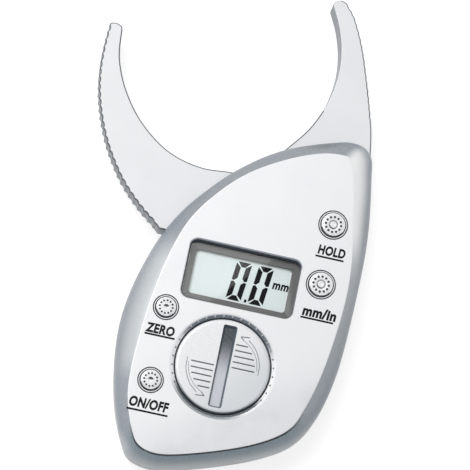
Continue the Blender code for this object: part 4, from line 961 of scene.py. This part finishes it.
# The outside's sign, the bumps' depth, and the share of the edge that stays plain near the root.
MOVING_SCALLOPS = (-1, 0.40, 0.0)
FIXED_SCALLOPS = (1, 0.16, 0.2)
MOVING_INNER = (JAW_TIP, (-52.3, 42.5), (-51.2, 38.2), (-47.9, 31.0), (-41.6, 22.7), (-32.0, 15.6),
                (-21.7, 12.9), (-11.5, 13.5), (-6.0, 13.0))
MOVING_OUTER = ((-57.1, 49.8), (-57.4, 44.8), (-57.2, 36.8), (-56.0, 29.1), (-53.2, 20.3),
                (-49.4, 12.4), (-43.8, 4.2), (-37.3, -2.4), (-29.8, -8.1))
MOVING_TIP = (JAW_TIP, (-53.25, 50.0), (-54.2, 50.6), (-55.2, 50.8), (-56.2, 50.7),
              (-56.85, 50.35), (-57.1, 49.8))
MOVING_ROOT = ((-27.0, -8.2), (-23.0, -9.6), (-15.0, -11.0), (-6.0, -6.0))
FIXED_INNER = ((8.0, 70.2), (10.2, 65.6), (12.3, 58.6), (13.0, 51.4), (12.4, 45.2), (10.9, 39.1),
               (7.7, 31.9), (3.3, 25.7), (1.1, 22.9))
FIXED_OUTER = ((11.8, 72.6), (14.2, 69.7), (16.2, 66.0), (18.9, 59.7), (21.3, 52.5), (23.6, 44.9),
               (26.1, 35.3), (27.4, 27.1))
FIXED_TIP = ((11.8, 72.6), (11.1, 73.2), (10.2, 73.5), (9.2, 73.5), (8.2, 73.0), (7.6, 72.3),
             (7.45, 71.4), (8.0, 70.2))
FIXED_SIDE = ((25.4, 24.0), (26.2, 18.0), (26.6, 12.0))
HUB_EDGE = (18.1, radians(72), radians(30), 16)


def scalloped(points, outside, depth, plain):
    """The smooth outer edge with finger scallops of one pitch, and none on its last share."""
    length = np.hypot(*np.diff(smooth_path(points), axis=0).T).sum()
    count = round(float(length) / SCALLOP_PITCH) * SCALLOP_STEPS + 1
    path = smooth_path(points, count=count)
    rise = np.array([depth * abs(sin(pi * i / SCALLOP_STEPS)) for i in range(count)])
    rise *= 1 - fade(np.linspace(0.0, 1.0, count), 0.95 - plain, 1.0 - plain)
    return path + outside * outward(path, closed=False) * rise[:, None]


def jaw_plate(outline, steps=5):
    """A builder for a jaw's outline with its thickness and rounded edges."""
    normal = outward(outline)
    rings = []
    for turn in [pi / 2 * step / steps for step in range(steps + 1)]:
        inset, rise = JAW_EDGE * (1 - sin(turn)), JAW_EDGE * (1 - cos(turn))
        rings.append(level(outline - normal * inset, JAW_BOTTOM + rise))
    rings += [[(x, y, JAW_BOTTOM + JAW_TOP - z) for x, y, z in ring] for ring in rings[::-1]]
    return lambda bm: loft(bm, [inside_box(ring) for ring in rings])


moving_outline = np.vstack((
    scalloped(MOVING_OUTER, *MOVING_SCALLOPS),
    smooth_path((MOVING_OUTER[-1], *MOVING_ROOT), count=16)[1:],
    smooth_path(MOVING_INNER, count=90)[::-1], smooth_path(MOVING_TIP, count=20)[1:-1]))
fixed_outline = np.vstack((
    smooth_path(FIXED_INNER, count=80), arc(*HUB_EDGE), FIXED_SIDE[::-1],
    scalloped(FIXED_OUTER, *FIXED_SCALLOPS)[::-1], smooth_path(FIXED_TIP, count=22)[1:-1]))
print("outline points:", len(moving_outline), "and", len(fixed_outline))

# %% [markdown]
# The gear teeth under the moving jaw's hub have to mesh with the encoder's pinion exactly. They are
# taken from a copy of the CAD model's own jaw instead of being drawn a second time.

# %% Build the jaws
GEAR_RING = (8.0, 18.0)
GEAR_ARC = (radians(-95), radians(-2))
GEAR_HEIGHT = 3.05
CLAMP_HOLE = 1.5


def jaw_hub(bm):
    """The disc and sector that fill the slot between the halves."""
    start, end = SECTOR_ARC
    prism(bm, arc(SECTOR_RADIUS, start, end, 64) + arc(HUB_RADIUS, end, start + 2 * pi, 64),
          JAW_BOTTOM, JAW_TOP)


def gear_region(bm):
    """The quarter of the hub that carries the gear teeth."""
    prism(bm, sector(*GEAR_RING, *GEAR_ARC, (12, 12)), JAW_BOTTOM - SEAT_GAP, JAW_BOTTOM + GEAR_HEIGHT)


def copied(name, node_name):
    """A copy of a CAD node's mesh, which can be changed."""
    made = as_object(name, frame["nodes"][node_name].data.copy())
    made.data.materials.clear()
    return made


moving = built("jaw_moving", jaw_plate(moving_outline))
cut_with(moving, jaw_hub, operation="UNION")
gear = copied("gear", "moving_jaw")
welded = bmesh.new()
welded.from_mesh(gear.data)
bmesh.ops.remove_doubles(welded, verts=welded.verts, dist=1e-6)
welded.to_mesh(gear.data)
welded.free()
cut_with(gear, gear_region, operation="INTERSECT")
cut(moving, gear, "UNION")
cut_with(moving, lambda bm: column(bm, PIN_BORE, 0.0, BODY_DEPTH))
fixed = built("jaw_fixed", jaw_plate(fixed_outline))
cut_with(fixed, lambda bm: columns(bm, JAW_SCREWS, CLAMP_HOLE, 0.0, BODY_DEPTH))


def beside_fold(x, y):
    """True along the fixed jaw's inner edge, whose upper part catches the light."""
    return y > 38.0 and 0.0 < x < 15.5 - 0.35 * max(y - 56.0, 0.0)


def wall(x, y, z, up):
    """True on the jaws' upright walls, and on the inner edge that catches the light."""
    return abs(up) < 0.4 or (0.4 <= up < 0.8 and beside_fold(x, y))


def darker_edge(x, y, z, up):
    """True on the upper rounded edges elsewhere."""
    return 0.4 <= up < 0.995 and not beside_fold(x, y)


for piece, node_name, body in ((moving, "moving_jaw", "jaw"), (fixed, "fixed_jaw", "housing")):
    dress(piece, JAW, body, node_name)
    # Painted shade on the walls and on the rounded upper edges.
    tint(piece, JAW_WALL_SHADE, wall)
    tint(piece, JAW_EDGE_SHADE, darker_edge)

# %% [markdown]
# ## The push buttons
#
# Each button is a small silver cap with a ring of dimples that a fingertip can feel. The upper two have
# a raised ring in the middle and the lower two a shallow pit. The cap is a turned profile, as it would
# be on a lathe, and the dimples are cut with small spheres, so that they catch light and shade on their
# own walls. Painted shade also darkens the cap's side, the dimples, the raised ring's walls and the
# slopes that face away from the light.

# %% Button finish and caps


def build_cap_paint_and_shade():
    """Bright silver paint, with painted shade down the cap's side."""
    paint = Paint("button_silver", 0.26, 0.25, 0.04, Coat_Weight=0.2)
    # Painted shade down the cap's side.
    low = paint.axes()[2].ramp(20.56, 20.40)
    return paint.finished(low.mix((0.88, 0.89, 0.90), (0.09, 0.10, 0.12)))


CAP_PAINT_AND_SHADE = build_cap_paint_and_shade()
# Painted shade in the dimples, on the raised ring's walls and on slopes that face away from the light.
DIMPLE_SHADE = finish("dimple_shade", (0.075, 0.085, 0.10), 0.4, depth=0.05)
CAP_RING_SHADE = finish("cap_ring_shade", (0.36, 0.38, 0.40), 0.4, depth=0.05)
DIMPLES, DIMPLE_RING, DIMPLE_SIZE = 12, 0.63, 0.108
RAISED = ("hold", "unit")
# Rows for the edge are an inset and a drop; those for the top are a share of the radius and a drop.
CAP_EDGE = ((0.0, 0.50), (0.05, 0.32), (0.16, 0.16), (0.30, 0.08))
CAP_GROOVE = ((0.86, 0.08), (0.845, 0.13), (0.83, 0.13), (0.81, 0.04), (0.78, 0.0))
RAISED_MIDDLE = ((0.40, 0.0), (0.38, 0.03), (0.36, 0.16), (0.325, 0.22), (0.29, 0.18), (0.265, 0.05),
                 (0.21, 0.0), (0.14, 0.02), (0.10, 0.08), (0.01, 0.09))
SUNK_MIDDLE = ((0.44, 0.0), (0.42, 0.06), (0.40, 0.06), (0.38, 0.0), (0.27, 0.0), (0.25, 0.04),
               (0.19, 0.11), (0.10, 0.13), (0.01, 0.13))


def cap_profile(cap, middle):
    """The cap's outside from its flange up to the middle of its top, as radius and height."""
    rows = [(cap + 0.6, 16.9), (cap + 0.6, 17.7), (cap, 17.7)]
    rows += [(cap - inset, CAP_TOP - drop) for inset, drop in CAP_EDGE]
    return rows + [(share * cap, CAP_TOP - drop) for share, drop in CAP_GROOVE + middle]


def dimples(bm, x, y, cap):
    """Small spheres that dent the cap's top in a ring."""
    for across, along in circle(DIMPLE_RING * cap, (x, y), DIMPLES):
        spot = Matrix.Translation(Vector((across, along, CAP_TOP + 0.05)) * MM)
        bmesh.ops.create_uvsphere(bm, u_segments=12, v_segments=8,
                                  radius=DIMPLE_SIZE * cap * MM, matrix=spot)


for key, (x, y, cap) in BUTTONS.items():
    profile = cap_profile(cap, RAISED_MIDDLE if key in RAISED else SUNK_MIDDLE)
    button = built("cap_" + key, lambda bm: turned_solid(bm, profile, (x, y)), 40)
    cut_with(button, lambda bm: dimples(bm, x, y, cap))
    dress(button, CAP_PAINT_AND_SHADE, key + "_button", "button_" + key)

    def ring_of(px, py):
        """A point's distance from the cap's middle, as a share of its radius."""
        return hypot(px - x, py - y) / cap

    def ringed(px, py, z, up):
        """True for the raised ring."""
        return 0.26 < ring_of(px, py) < 0.385 and z < CAP_TOP - 0.03 and key in RAISED

    def dented(px, py, z, up):
        """True inside the dimples."""
        return 0.48 < ring_of(px, py) < 0.78 and z < CAP_TOP - 0.02 and up > -0.5

    def away(px, py, z, up):
        """True where a slope faces away from the light: below a rim, or above the middle of a pit."""
        ring, turn = ring_of(px, py), atan2(py - y, px - x)
        edge = ring > 0.90 and 18.0 < z < CAP_TOP - 0.07 and -2.7 < turn < -0.6
        middle = 0.26 < ring < 0.36 and z < CAP_TOP - 0.10 and -2.8 < turn < -1.1
        pit = ring < 0.26 and z < CAP_TOP - 0.01 and 0.2 < turn < 2.9
        return edge or (middle if key in RAISED else pit)

    # Painted shade on the ring's walls, in the dimples and on slopes that face away from the light.
    tint(button, CAP_RING_SHADE, ringed)
    tint(button, DIMPLE_SHADE, dented)
    tint(button, DIMPLE_SHADE, away)

# %% [markdown]
# ## The battery door
#
# The door is a disc that a coin turns. Its slot is wide enough for the coin and slopes to a floor, and
# beside it lie hatch lines for grip and two curved arrows that show which way it opens. On the real
# part all of these are sunk into the moulding, so they are cut here as well. A drawn line would look
# flat as soon as the light moves. Painted shade darkens the slot, its walls and the sunk lines, and the
# door's rim and lower right.

# %% Battery door's finish


def build_door_paint_and_shade():
    """Silver like the face, with painted shade: a dark ring at the rim's edge, a dark crescent on the
    rim that faces away from the light, and a darker lower right.
    """
    paint = Paint("door_silver_and_shade", 0.36, Metallic=0.1)
    across, along, reach = round_door(paint)
    # Painted shade: a dark ring at the rim's edge, a crescent under the door, and a darker lower right.
    rim = reach.ramp(13.55, 13.70)
    crescent = reach.ramp(13.1, 13.45) * along.ramp(-5.0, -11.0)
    colour = paint.flake.ramp(*FLAKE_RANGE).mix((0.80, 0.81, 0.83), (0.86, 0.87, 0.88))
    colour = (across - along).ramp(-8.0, 16.0).mix(colour, (0.68, 0.71, 0.74))
    return paint.finished((rim | crescent).mix(colour, (0.10, 0.125, 0.15)))


DOOR_SILVER_AND_SHADE = build_door_paint_and_shade()
# Painted shade in the coin slot, darkest towards its top, on its walls and in the sunk lines.
SLOT_SHADE = shaded_along("slot_shade", (0.60, 0.62, 0.67), (0.02, 0.035, 0.05), -49.0, -36.5)
SLOT_WALL_SHADE = finish("slot_wall_shade", (0.12, 0.15, 0.18), 0.40, depth=0.08)
ENGRAVED_SHADE = finish("engraved_shade", (0.15, 0.165, 0.18), 0.45)

# %% Battery door
SLOT_WIDTH, SLOT_LENGTH = 3.8, 24.0
SLOT_STEPS = ((-0.45, -1.3), (-0.30, -0.9), (0.0, -0.18), (0.12, 0.0), (0.3, 0.3))
HATCH_START, HATCH_REACH = SLOT_WIDTH / 2 + 0.65, 9.2
HATCH_PITCH, HATCH_WIDTH = 1.7, 0.38
ARROW_OUTER = ((10.4, -0.6), (10.3, 2.2), (9.5, 4.7), (8.1, 7.0), (5.9, 8.95))
ARROW_INNER = ((4.3, 8.7), (6.1, 7.6), (7.7, 6.1), (9.1, 3.9), (9.9, 0.6))
ARROW_HEAD = (((3.5, 9.5), (6.1, 9.75)), ((3.5, 9.5), (4.5, 8.6)))
RIM_WIDTH, RIM_DROP = 1.1, 0.75
LUG_OUTER, LUG_SPREAD = 13.5, radians(14)
ABOVE_DOOR = DOOR_TOP + 0.3


def beside_middle(x, y):
    """A place on the door and its partner half a turn away."""
    return [(BATTERY[0] + side * x, BATTERY[1] + side * y) for side in (1, -1)]


def door_disc(bm):
    """The door's outside, from the foot of its neck up to its top, with a round rim."""
    rows = [(DOOR_NECK, LUG_BOTTOM), (DOOR_NECK, DOOR_BOTTOM), (DOOR_RADIUS, DOOR_BOTTOM)]
    for turn in [pi / 2 * step / 6 for step in range(7)]:
        rows.append((DOOR_RADIUS - RIM_WIDTH * (1 - cos(turn)), DOOR_TOP - RIM_DROP * (1 - sin(turn))))
    turned_solid(bm, rows, BATTERY, 128)


def door_lugs(bm):
    """Two lugs that turn under the well's ledge."""
    for side in (0, pi):
        outline = sector(LUG_INNER, LUG_OUTER, side - LUG_SPREAD, side + LUG_SPREAD, (6, 10), BATTERY)
        prism(bm, outline, LUG_BOTTOM, LUG_TOP)


def coin_slot(bm):
    """The coin's slot, with a narrow slope along each side."""
    loft(bm, [level(rounded_rectangle((SLOT_WIDTH + 2 * grow, SLOT_LENGTH + 2 * grow),
                                      0.5 + max(grow, -0.3), BATTERY, 4), DOOR_TOP + height)
              for grow, height in SLOT_STEPS])


def hatch_lines(bm):
    """Five short grooves on each side of the slot, whose outer ends lie on a circle."""
    for height in [0.2 + HATCH_PITCH * line for line in range(5)]:
        length = sqrt(HATCH_REACH ** 2 - height ** 2) - HATCH_START
        for middle in beside_middle(HATCH_START + length / 2, height):
            flat_box(bm, (length, HATCH_WIDTH), DOOR_TOP - 0.3, ABOVE_DOOR, middle)


def arrow_curve(points, width):
    """A builder for one curved line of both arrows, which are half a turn apart."""
    path = smooth_path(points, count=24)

    def build(bm):
        for placed in zip(*(beside_middle(x, y) for x, y in path)):
            line = np.array(placed)
            side = outward(line, closed=False) * width / 2
            prism(bm, np.vstack((line - side, (line + side)[::-1]))[::-1], DOOR_TOP - 0.16, ABOVE_DOOR)
    return build


def arrow_barb(start, end):
    """A builder for one straight stroke of both arrows' heads."""
    across, along = end[0] - start[0], end[1] - start[1]
    size, turn = (hypot(across, along), 0.26), atan2(along, across)

    def build(bm):
        for middle in beside_middle((start[0] + end[0]) / 2, (start[1] + end[1]) / 2):
            flat_box(bm, size, DOOR_TOP - 0.22, ABOVE_DOOR, middle, turn)
    return build


door = built("door_disc", door_disc)
cut_with(door, door_lugs, operation="UNION")
cut_with(door, coin_slot, hatch_lines, arrow_curve(ARROW_OUTER, 0.18), arrow_curve(ARROW_INNER, 0.13),
         *(arrow_barb(*barb) for barb in ARROW_HEAD))
dress(door, DOOR_SILVER_AND_SHADE, "door", "battery_door")


def in_slot(x, y, z, up):
    """True for the coin slot's floor and walls."""
    return abs(x - BATTERY[0]) < 2.02 and abs(y - BATTERY[1]) < 12.02 and 18.0 < z < 19.45


def in_engraving(x, y, z, up):
    """True for the sunk lines on the door's flat top."""
    return from_door(x, y) < 12.2 and 19.05 < z < 19.49 and not in_slot(x, y, z, up)


# Painted shade in the slot, on its walls and in the sunk lines.
tint(door, SLOT_SHADE, in_slot)
tint(door, SLOT_WALL_SHADE, lambda x, y, z, up: in_slot(x, y, z, up) and up < 0.9 and z < 19.3)
tint(door, ENGRAVED_SHADE, in_engraving)

# %% [markdown]
# ## Grip dots round the door
#
# A ring of small round pips stands on the dished ring, one every ten degrees. They are separate low
# domes on one mesh: joining them to the housing would only add work for the same look.

# %% Grip dots
DOT_COUNT, DOT_RING = 36, 14.6
DOT_PROFILE = ((0.24, 19.45), (0.22, 19.83), (0.15, 19.93), (0.05, 19.97))


def grip_dots(bm):
    """Low domes in a ring."""
    for spot in circle(DOT_RING, BATTERY, DOT_COUNT):
        turned_solid(bm, DOT_PROFILE, spot, 12)


# The dots are painted dark low down and light higher up, as painted shade and painted light.
DOT_LIGHT_AND_SHADE = shaded_along("dot_light_and_shade", (0.18, 0.20, 0.22), (0.62, 0.64, 0.67), -41.0, -35.0)
dress(built("grip_dots", grip_dots, 60), DOT_LIGHT_AND_SHADE, "housing")

# %% [markdown]
# ## The display
#
# Under the clear window lies a grey bezel, and under that the display itself: a pane of liquid crystal
# between two glasses. Its digits are thin dark films of seven slanted bars with mitred ends, of which
# a nought shows six. Bars drawn as polygons stay sharp at any distance, where a texture would blur.
#
# The window is a see-through shader with a mirror mixed in, as on any polished surface: little of it
# from straight above, and more at a slant. Only the outer side mirrors, so that light is not caught
# inside.

# %% Window, bezel and glass


def build_clear():
    """Clear acrylic: see-through, with a polished surface that mirrors a little."""
    made, tree = new_material("clear_plastic")
    tree.nodes.remove(tree.nodes["Principled BSDF"])
    clear = add_node(tree, "ShaderNodeBsdfTransparent", Color=(0.995, 0.998, 0.998, 1.0))
    group = place_surface(tree, 6.0, 0.002, 0.02, 0.01)
    mirror = add_node(tree, "ShaderNodeBsdfGlossy", [(group.outputs["Roughness"], "Roughness")])
    share = Mask(tree, add_node(tree, "ShaderNodeFresnel", IOR=1.55).outputs[0])
    inner = Mask(tree, add_node(tree, "ShaderNodeNewGeometry").outputs["Backfacing"])
    mixed = add_node(tree, "ShaderNodeMixShader", [(share * (1.0 - inner), 0), (clear.outputs[0], 1),
                                                   (mirror.outputs[0], 2)])
    tree.links.new(mixed.outputs[0], tree.nodes["Material Output"].inputs["Surface"])
    return made


def build_display_glass():
    """Grey-green display, a little brighter along the edges of its view."""
    paint = Paint("display_glass", 0.25, 0.4, 0.02, 0.03)
    x, y = paint.axes()[:2]
    across, along = maths("ABSOLUTE", x - DISPLAY[0]), maths("ABSOLUTE", y - DISPLAY[1])
    edge = across.ramp(13.7, 14.1) | along.ramp(6.05, 6.4)
    colour = paint.mottle.ramp(0.3, 0.7).mix((0.81, 0.895, 0.89), (0.825, 0.91, 0.905))
    return paint.finished(edge.mix(colour, (0.92, 0.98, 0.97)))


GREY = finish("grey_plastic", (0.138, 0.138, 0.137), 0.42, depth=0.08, spread=0.05)
CLEAR = build_clear()
paint_node("lcd_glass", build_display_glass())
VIEW_CORNER = 1.1
LENS_STEPS = ((0.0, WINDOW_BOTTOM), (0.0, WINDOW_TOP - 0.30), (0.08, WINDOW_TOP - 0.10),
              (0.30, WINDOW_TOP))


def view_corners(bm):
    """Fillets that round the corners of the bezel's view."""
    past = 0.1  # how far a fillet reaches into the bezel, so that the two join
    for sx in (1, -1):
        for sy in (1, -1):
            x, y = DISPLAY[0] + sx * VIEW[0] / 2, DISPLAY[1] + sy * VIEW[1] / 2
            left, low = x - sx * VIEW_CORNER, y - sy * VIEW_CORNER
            outline = [(left + sx * a, low + sy * b) for a, b in arc(VIEW_CORNER, 0, pi / 2, 8)]
            outline += [(left, y + sy * past), (x + sx * past, y + sy * past), (x + sx * past, low)]
            prism(bm, outline if sx * sy > 0 else outline[::-1], GLASS_TOP + 0.25, FRAME_TOP - 0.05)


def lens(bm):
    """A pane with a bevelled upper edge."""
    rings = []
    for inset, height in LENS_STEPS:
        size = [side - 2 * inset for side in WINDOW]
        rings.append(level(rounded_rectangle(size, WINDOW_CORNER - inset, DISPLAY), height))
    loft(bm, rings)


bezel = cut_with(copied("bezel", "lcd_frame"), view_corners, operation="UNION")
dress(bezel, GREY, "housing", "lcd_frame")
dress(built("window_lens", lens), CLEAR, "housing", "lcd_window")

# %% Digits
DIGIT_WIDTH, DIGIT_HEIGHT, BAR = 4.5, 11.7, 1.52
DIGIT_SLANT = 0.115
DIGIT_PLACES = (-0.35, 6.15)
BAR_GAP, BAR_MITRE = 0.16, 0.25
POINT = ((2.15, -5.75), (2.85, -5.75), (2.97, -4.85), (2.27, -4.85))
INK_BOTTOM, INK_TOP = GLASS_TOP + 0.004, GLASS_TOP + 0.03


def bars_of_zero():
    """Outlines of the six bars of a nought, upright and centred."""
    w, h, t, g, m = DIGIT_WIDTH / 2, DIGIT_HEIGHT / 2, BAR, BAR_GAP, BAR_MITRE
    top = [(-w + m + g, h), (w - m - g, h), (w - t - g, h - t), (-w + t + g, h - t)]
    side = [(w, h - m - g), (w, g + 0.1), (w - t / 2, g - 0.05), (w - t, g + t / 2), (w - t, h - t - g)]
    bars = [top, [(x, -y) for x, y in top]]
    return bars + [[(sx * x, sy * y) for x, y in side] for sx in (1, -1) for sy in (1, -1)]


def zeros(bm):
    """Two slanted noughts with the point between them."""
    for centre in DIGIT_PLACES:
        for bar in bars_of_zero():
            points = [(DISPLAY[0] + centre + x + y * DIGIT_SLANT, DISPLAY[1] + y) for x, y in bar]
            area = sum(a[0] * b[1] - b[0] * a[1] for a, b in zip(points, points[1:] + points[:1]))
            prism(bm, points if area > 0 else points[::-1], INK_BOTTOM, INK_TOP)
    prism(bm, [(DISPLAY[0] + x, DISPLAY[1] + y) for x, y in POINT], INK_BOTTOM, INK_TOP)


dress(built("lcd_digits", zeros), PLAIN["lcd_ink"], "housing")

# %% [markdown]
# ## Printed words
#
# The words are pad-printed: a film of ink far thinner than a hair. Blender's own font gives plain sans
# letters, which are turned into a mesh and fitted to the width and height that the print has. As real
# geometry they cannot flicker against the face.

# %% Words and underlines
PRINT_TOP = BODY_DEPTH + 0.025
FILM = 0.02
LETTER_SPACE = 1.08
WORDS = {
    "hold": ("HOLD", (20.5, -5.6), (8.1, 2.9)), "unit": ("mm/in", (20.4, -24.3), (10.0, 3.2)),
    "zero": ("ZERO", (-23.6, -38.9), (8.4, 2.9)), "on_off": ("ON/OFF", (-22.3, -60.7), (11.4, 3.0)),
}
UNDERLINE_WIDTH = 0.55
UNDERLINES = ((20.2, -7.7, 8.4), (20.0, -26.4, 9.7), (-23.4, -40.8, 8.8), (-22.4, -63.0, 11.9))


def words(name, text, middle, size, bold=0.047, slant=0.1, top=PRINT_TOP, ink="print_black"):
    """A word as thin mesh, fitted to a width and height round its middle."""
    curve = bpy.data.curves.new(name, "FONT")
    curve.body = text
    curve.size = 1.0
    curve.offset = bold
    curve.shear = slant
    curve.space_character = LETTER_SPACE
    curve.resolution_u = 6
    drawn = as_object(name + "_text", curve)
    graph = bpy.context.evaluated_depsgraph_get()
    flat = bpy.data.meshes.new_from_object(drawn.evaluated_get(graph))
    bpy.data.objects.remove(drawn, do_unlink=True)

    def build(bm):
        bm.from_mesh(flat)
        bmesh.ops.remove_doubles(bm, verts=bm.verts, dist=1e-5)
        for axis in (0, 1):
            values = [v.co[axis] for v in bm.verts]
            low, extent = min(values), max(values) - min(values)
            for v, value in zip(bm.verts, values):
                v.co[axis] = (middle[axis] + ((value - low) / extent - 0.5) * size[axis]) * MM
        for v in bm.verts:
            v.co.z = (top - FILM) * MM
        for item in bmesh.ops.extrude_face_region(bm, geom=bm.faces[:])["geom"]:
            if isinstance(item, bmesh.types.BMVert):
                item.co.z = top * MM
        bmesh.ops.recalc_face_normals(bm, faces=bm.faces)

    dress(built(name, build), PLAIN[ink], "housing")


def underlines(bm):
    """A thin bar under each word."""
    for x, y, length in UNDERLINES:
        flat_box(bm, (length, UNDERLINE_WIDTH), PRINT_TOP - FILM, PRINT_TOP, (x, y))


for key, (text, middle, size) in WORDS.items():
    words("word_" + key, text, middle, size)
words("word_mm", "mm", (DISPLAY[0] + 11.85, DISPLAY[1] + 0.9), (4.8, 1.95),
      bold=0.04, slant=0.12, top=INK_TOP, ink="lcd_ink")
dress(built("underlines", underlines), PLAIN["print_black"], "housing")

# %% [markdown]
# ## Floor, light and the last measurements
#
# A catalogue picture has a white ground and even light that comes mostly from the upper left. One large
# round light gives it, placed well away from where the lens would mirror it into the camera. A weak
# panel overhead gives the lens its pale diagonal reflection. The floor's own colour is kept, and a
# little white is added for what the camera, a mirror or a lens sees, so that the shadow stays soft
# without more light on the object.

# %% Floor
FLOOR_GLOW = 0.76


def seen_rays(tree):
    """1 for the rays by which a thing is seen, straight, mirrored or through a lens."""
    rays = add_node(tree, "ShaderNodeLightPath").outputs
    straight, mirrored, through = [Mask(tree, rays[f"Is {kind} Ray"])
                                   for kind in ("Camera", "Glossy", "Transmission")]
    return straight | (mirrored | through)


def build_floor():
    """A pale floor that looks white and keeps a faint shadow."""
    made, tree = new_material("pale_floor")
    shader = tree.nodes["Principled BSDF"]
    shader.inputs["Roughness"].default_value = 0.9
    shader.inputs["Specular IOR Level"].default_value = 0.0
    shader.inputs["Emission Color"].default_value = (1.0, 1.0, 1.0, 1.0)
    grain = Mask(tree, add_node(tree, "ShaderNodeTexNoise", Scale=8.0, Detail=2.0).outputs["Fac"])
    tree.links.new(grain.mix((0.40, 0.40, 0.41), (0.43, 0.43, 0.43)), shader.inputs["Base Color"])
    tree.links.new((seen_rays(tree) * FLOOR_GLOW).socket, shader.inputs["Emission Strength"])
    return made


floor = built("floor", lambda bm: bmesh.ops.create_grid(bm, x_segments=1, y_segments=1, size=3.0))
floor.location.z = -0.05 * MM
floor.data.materials.append(build_floor())

# %% Light
AMBIENT = 0.37
CALIPER_MIDDLE = Vector((-0.005, -0.015, 0.01))
KEY_PLACE, KEY_POWER = turned((-0.50, 0.55, 1.40)), 15.5
CEILING = 0.9
PANEL_SIZE, PANEL_POWER = (0.40, 0.24), 0.57
STREAK = ((-10.5, -26.9), (3.7, -12.0))

world = bpy.data.worlds.new("studio")
bpy.context.scene.world = world
world.use_nodes = True
tree = world.node_tree
sky = tree.nodes["Background"]
direction = add_node(tree, "ShaderNodeTexCoord").outputs["Generated"]
height = Mask(tree, add_node(tree, "ShaderNodeSeparateXYZ", [(direction, "Vector")]).outputs["Z"])
seen = seen_rays(tree)
strength = seen * height.ramp(0.55, 0.85, 1.0, 0.05) + (1.0 - seen) * AMBIENT
tree.links.new(strength.socket, sky.inputs["Strength"])
sky.inputs["Color"].default_value = (1.0, 1.0, 1.0, 1.0)


def mirrored_up(x, y, height):
    """Where the camera's ray, mirrored at a point of the lens, reaches a height in metres."""
    spot = Vector((x, y, WINDOW_TOP)) * MM
    ray = spot - camera.matrix_world.translation
    ray.z = -ray.z
    return spot + ray * ((height - spot.z) / ray.z)


def area_light(name, place, turn, energy, **form):
    """An area light with its place, rotation, power and form, all in metres and watts."""
    lamp = bpy.data.lights.new(name, "AREA")
    for key, value in form.items():
        setattr(lamp, key, value)
    lamp.energy = energy
    made = bpy.data.objects.new(name, lamp)
    bpy.context.scene.collection.objects.link(made)
    made.location, made.rotation_euler = place, turn
    return made


aim = (CALIPER_MIDDLE - KEY_PLACE).to_track_quat("-Z", "Y").to_euler()
area_light("key_light", KEY_PLACE, aim, KEY_POWER, shape="DISK", size=1.0)
start, end = [mirrored_up(x, y, CEILING) for x, y in STREAK]
edge = (end - start).normalized()
side = Vector((-edge.y, edge.x, 0.0))
gloss = area_light("gloss_panel", (start + end) / 2 + side * PANEL_SIZE[1] / 2,
                   (0.0, 0.0, atan2(edge.y, edge.x)), PANEL_POWER,
                   shape="RECTANGLE", size=PANEL_SIZE[0], size_y=PANEL_SIZE[1])
print("gloss panel at", [round(v, 3) for v in gloss.location])
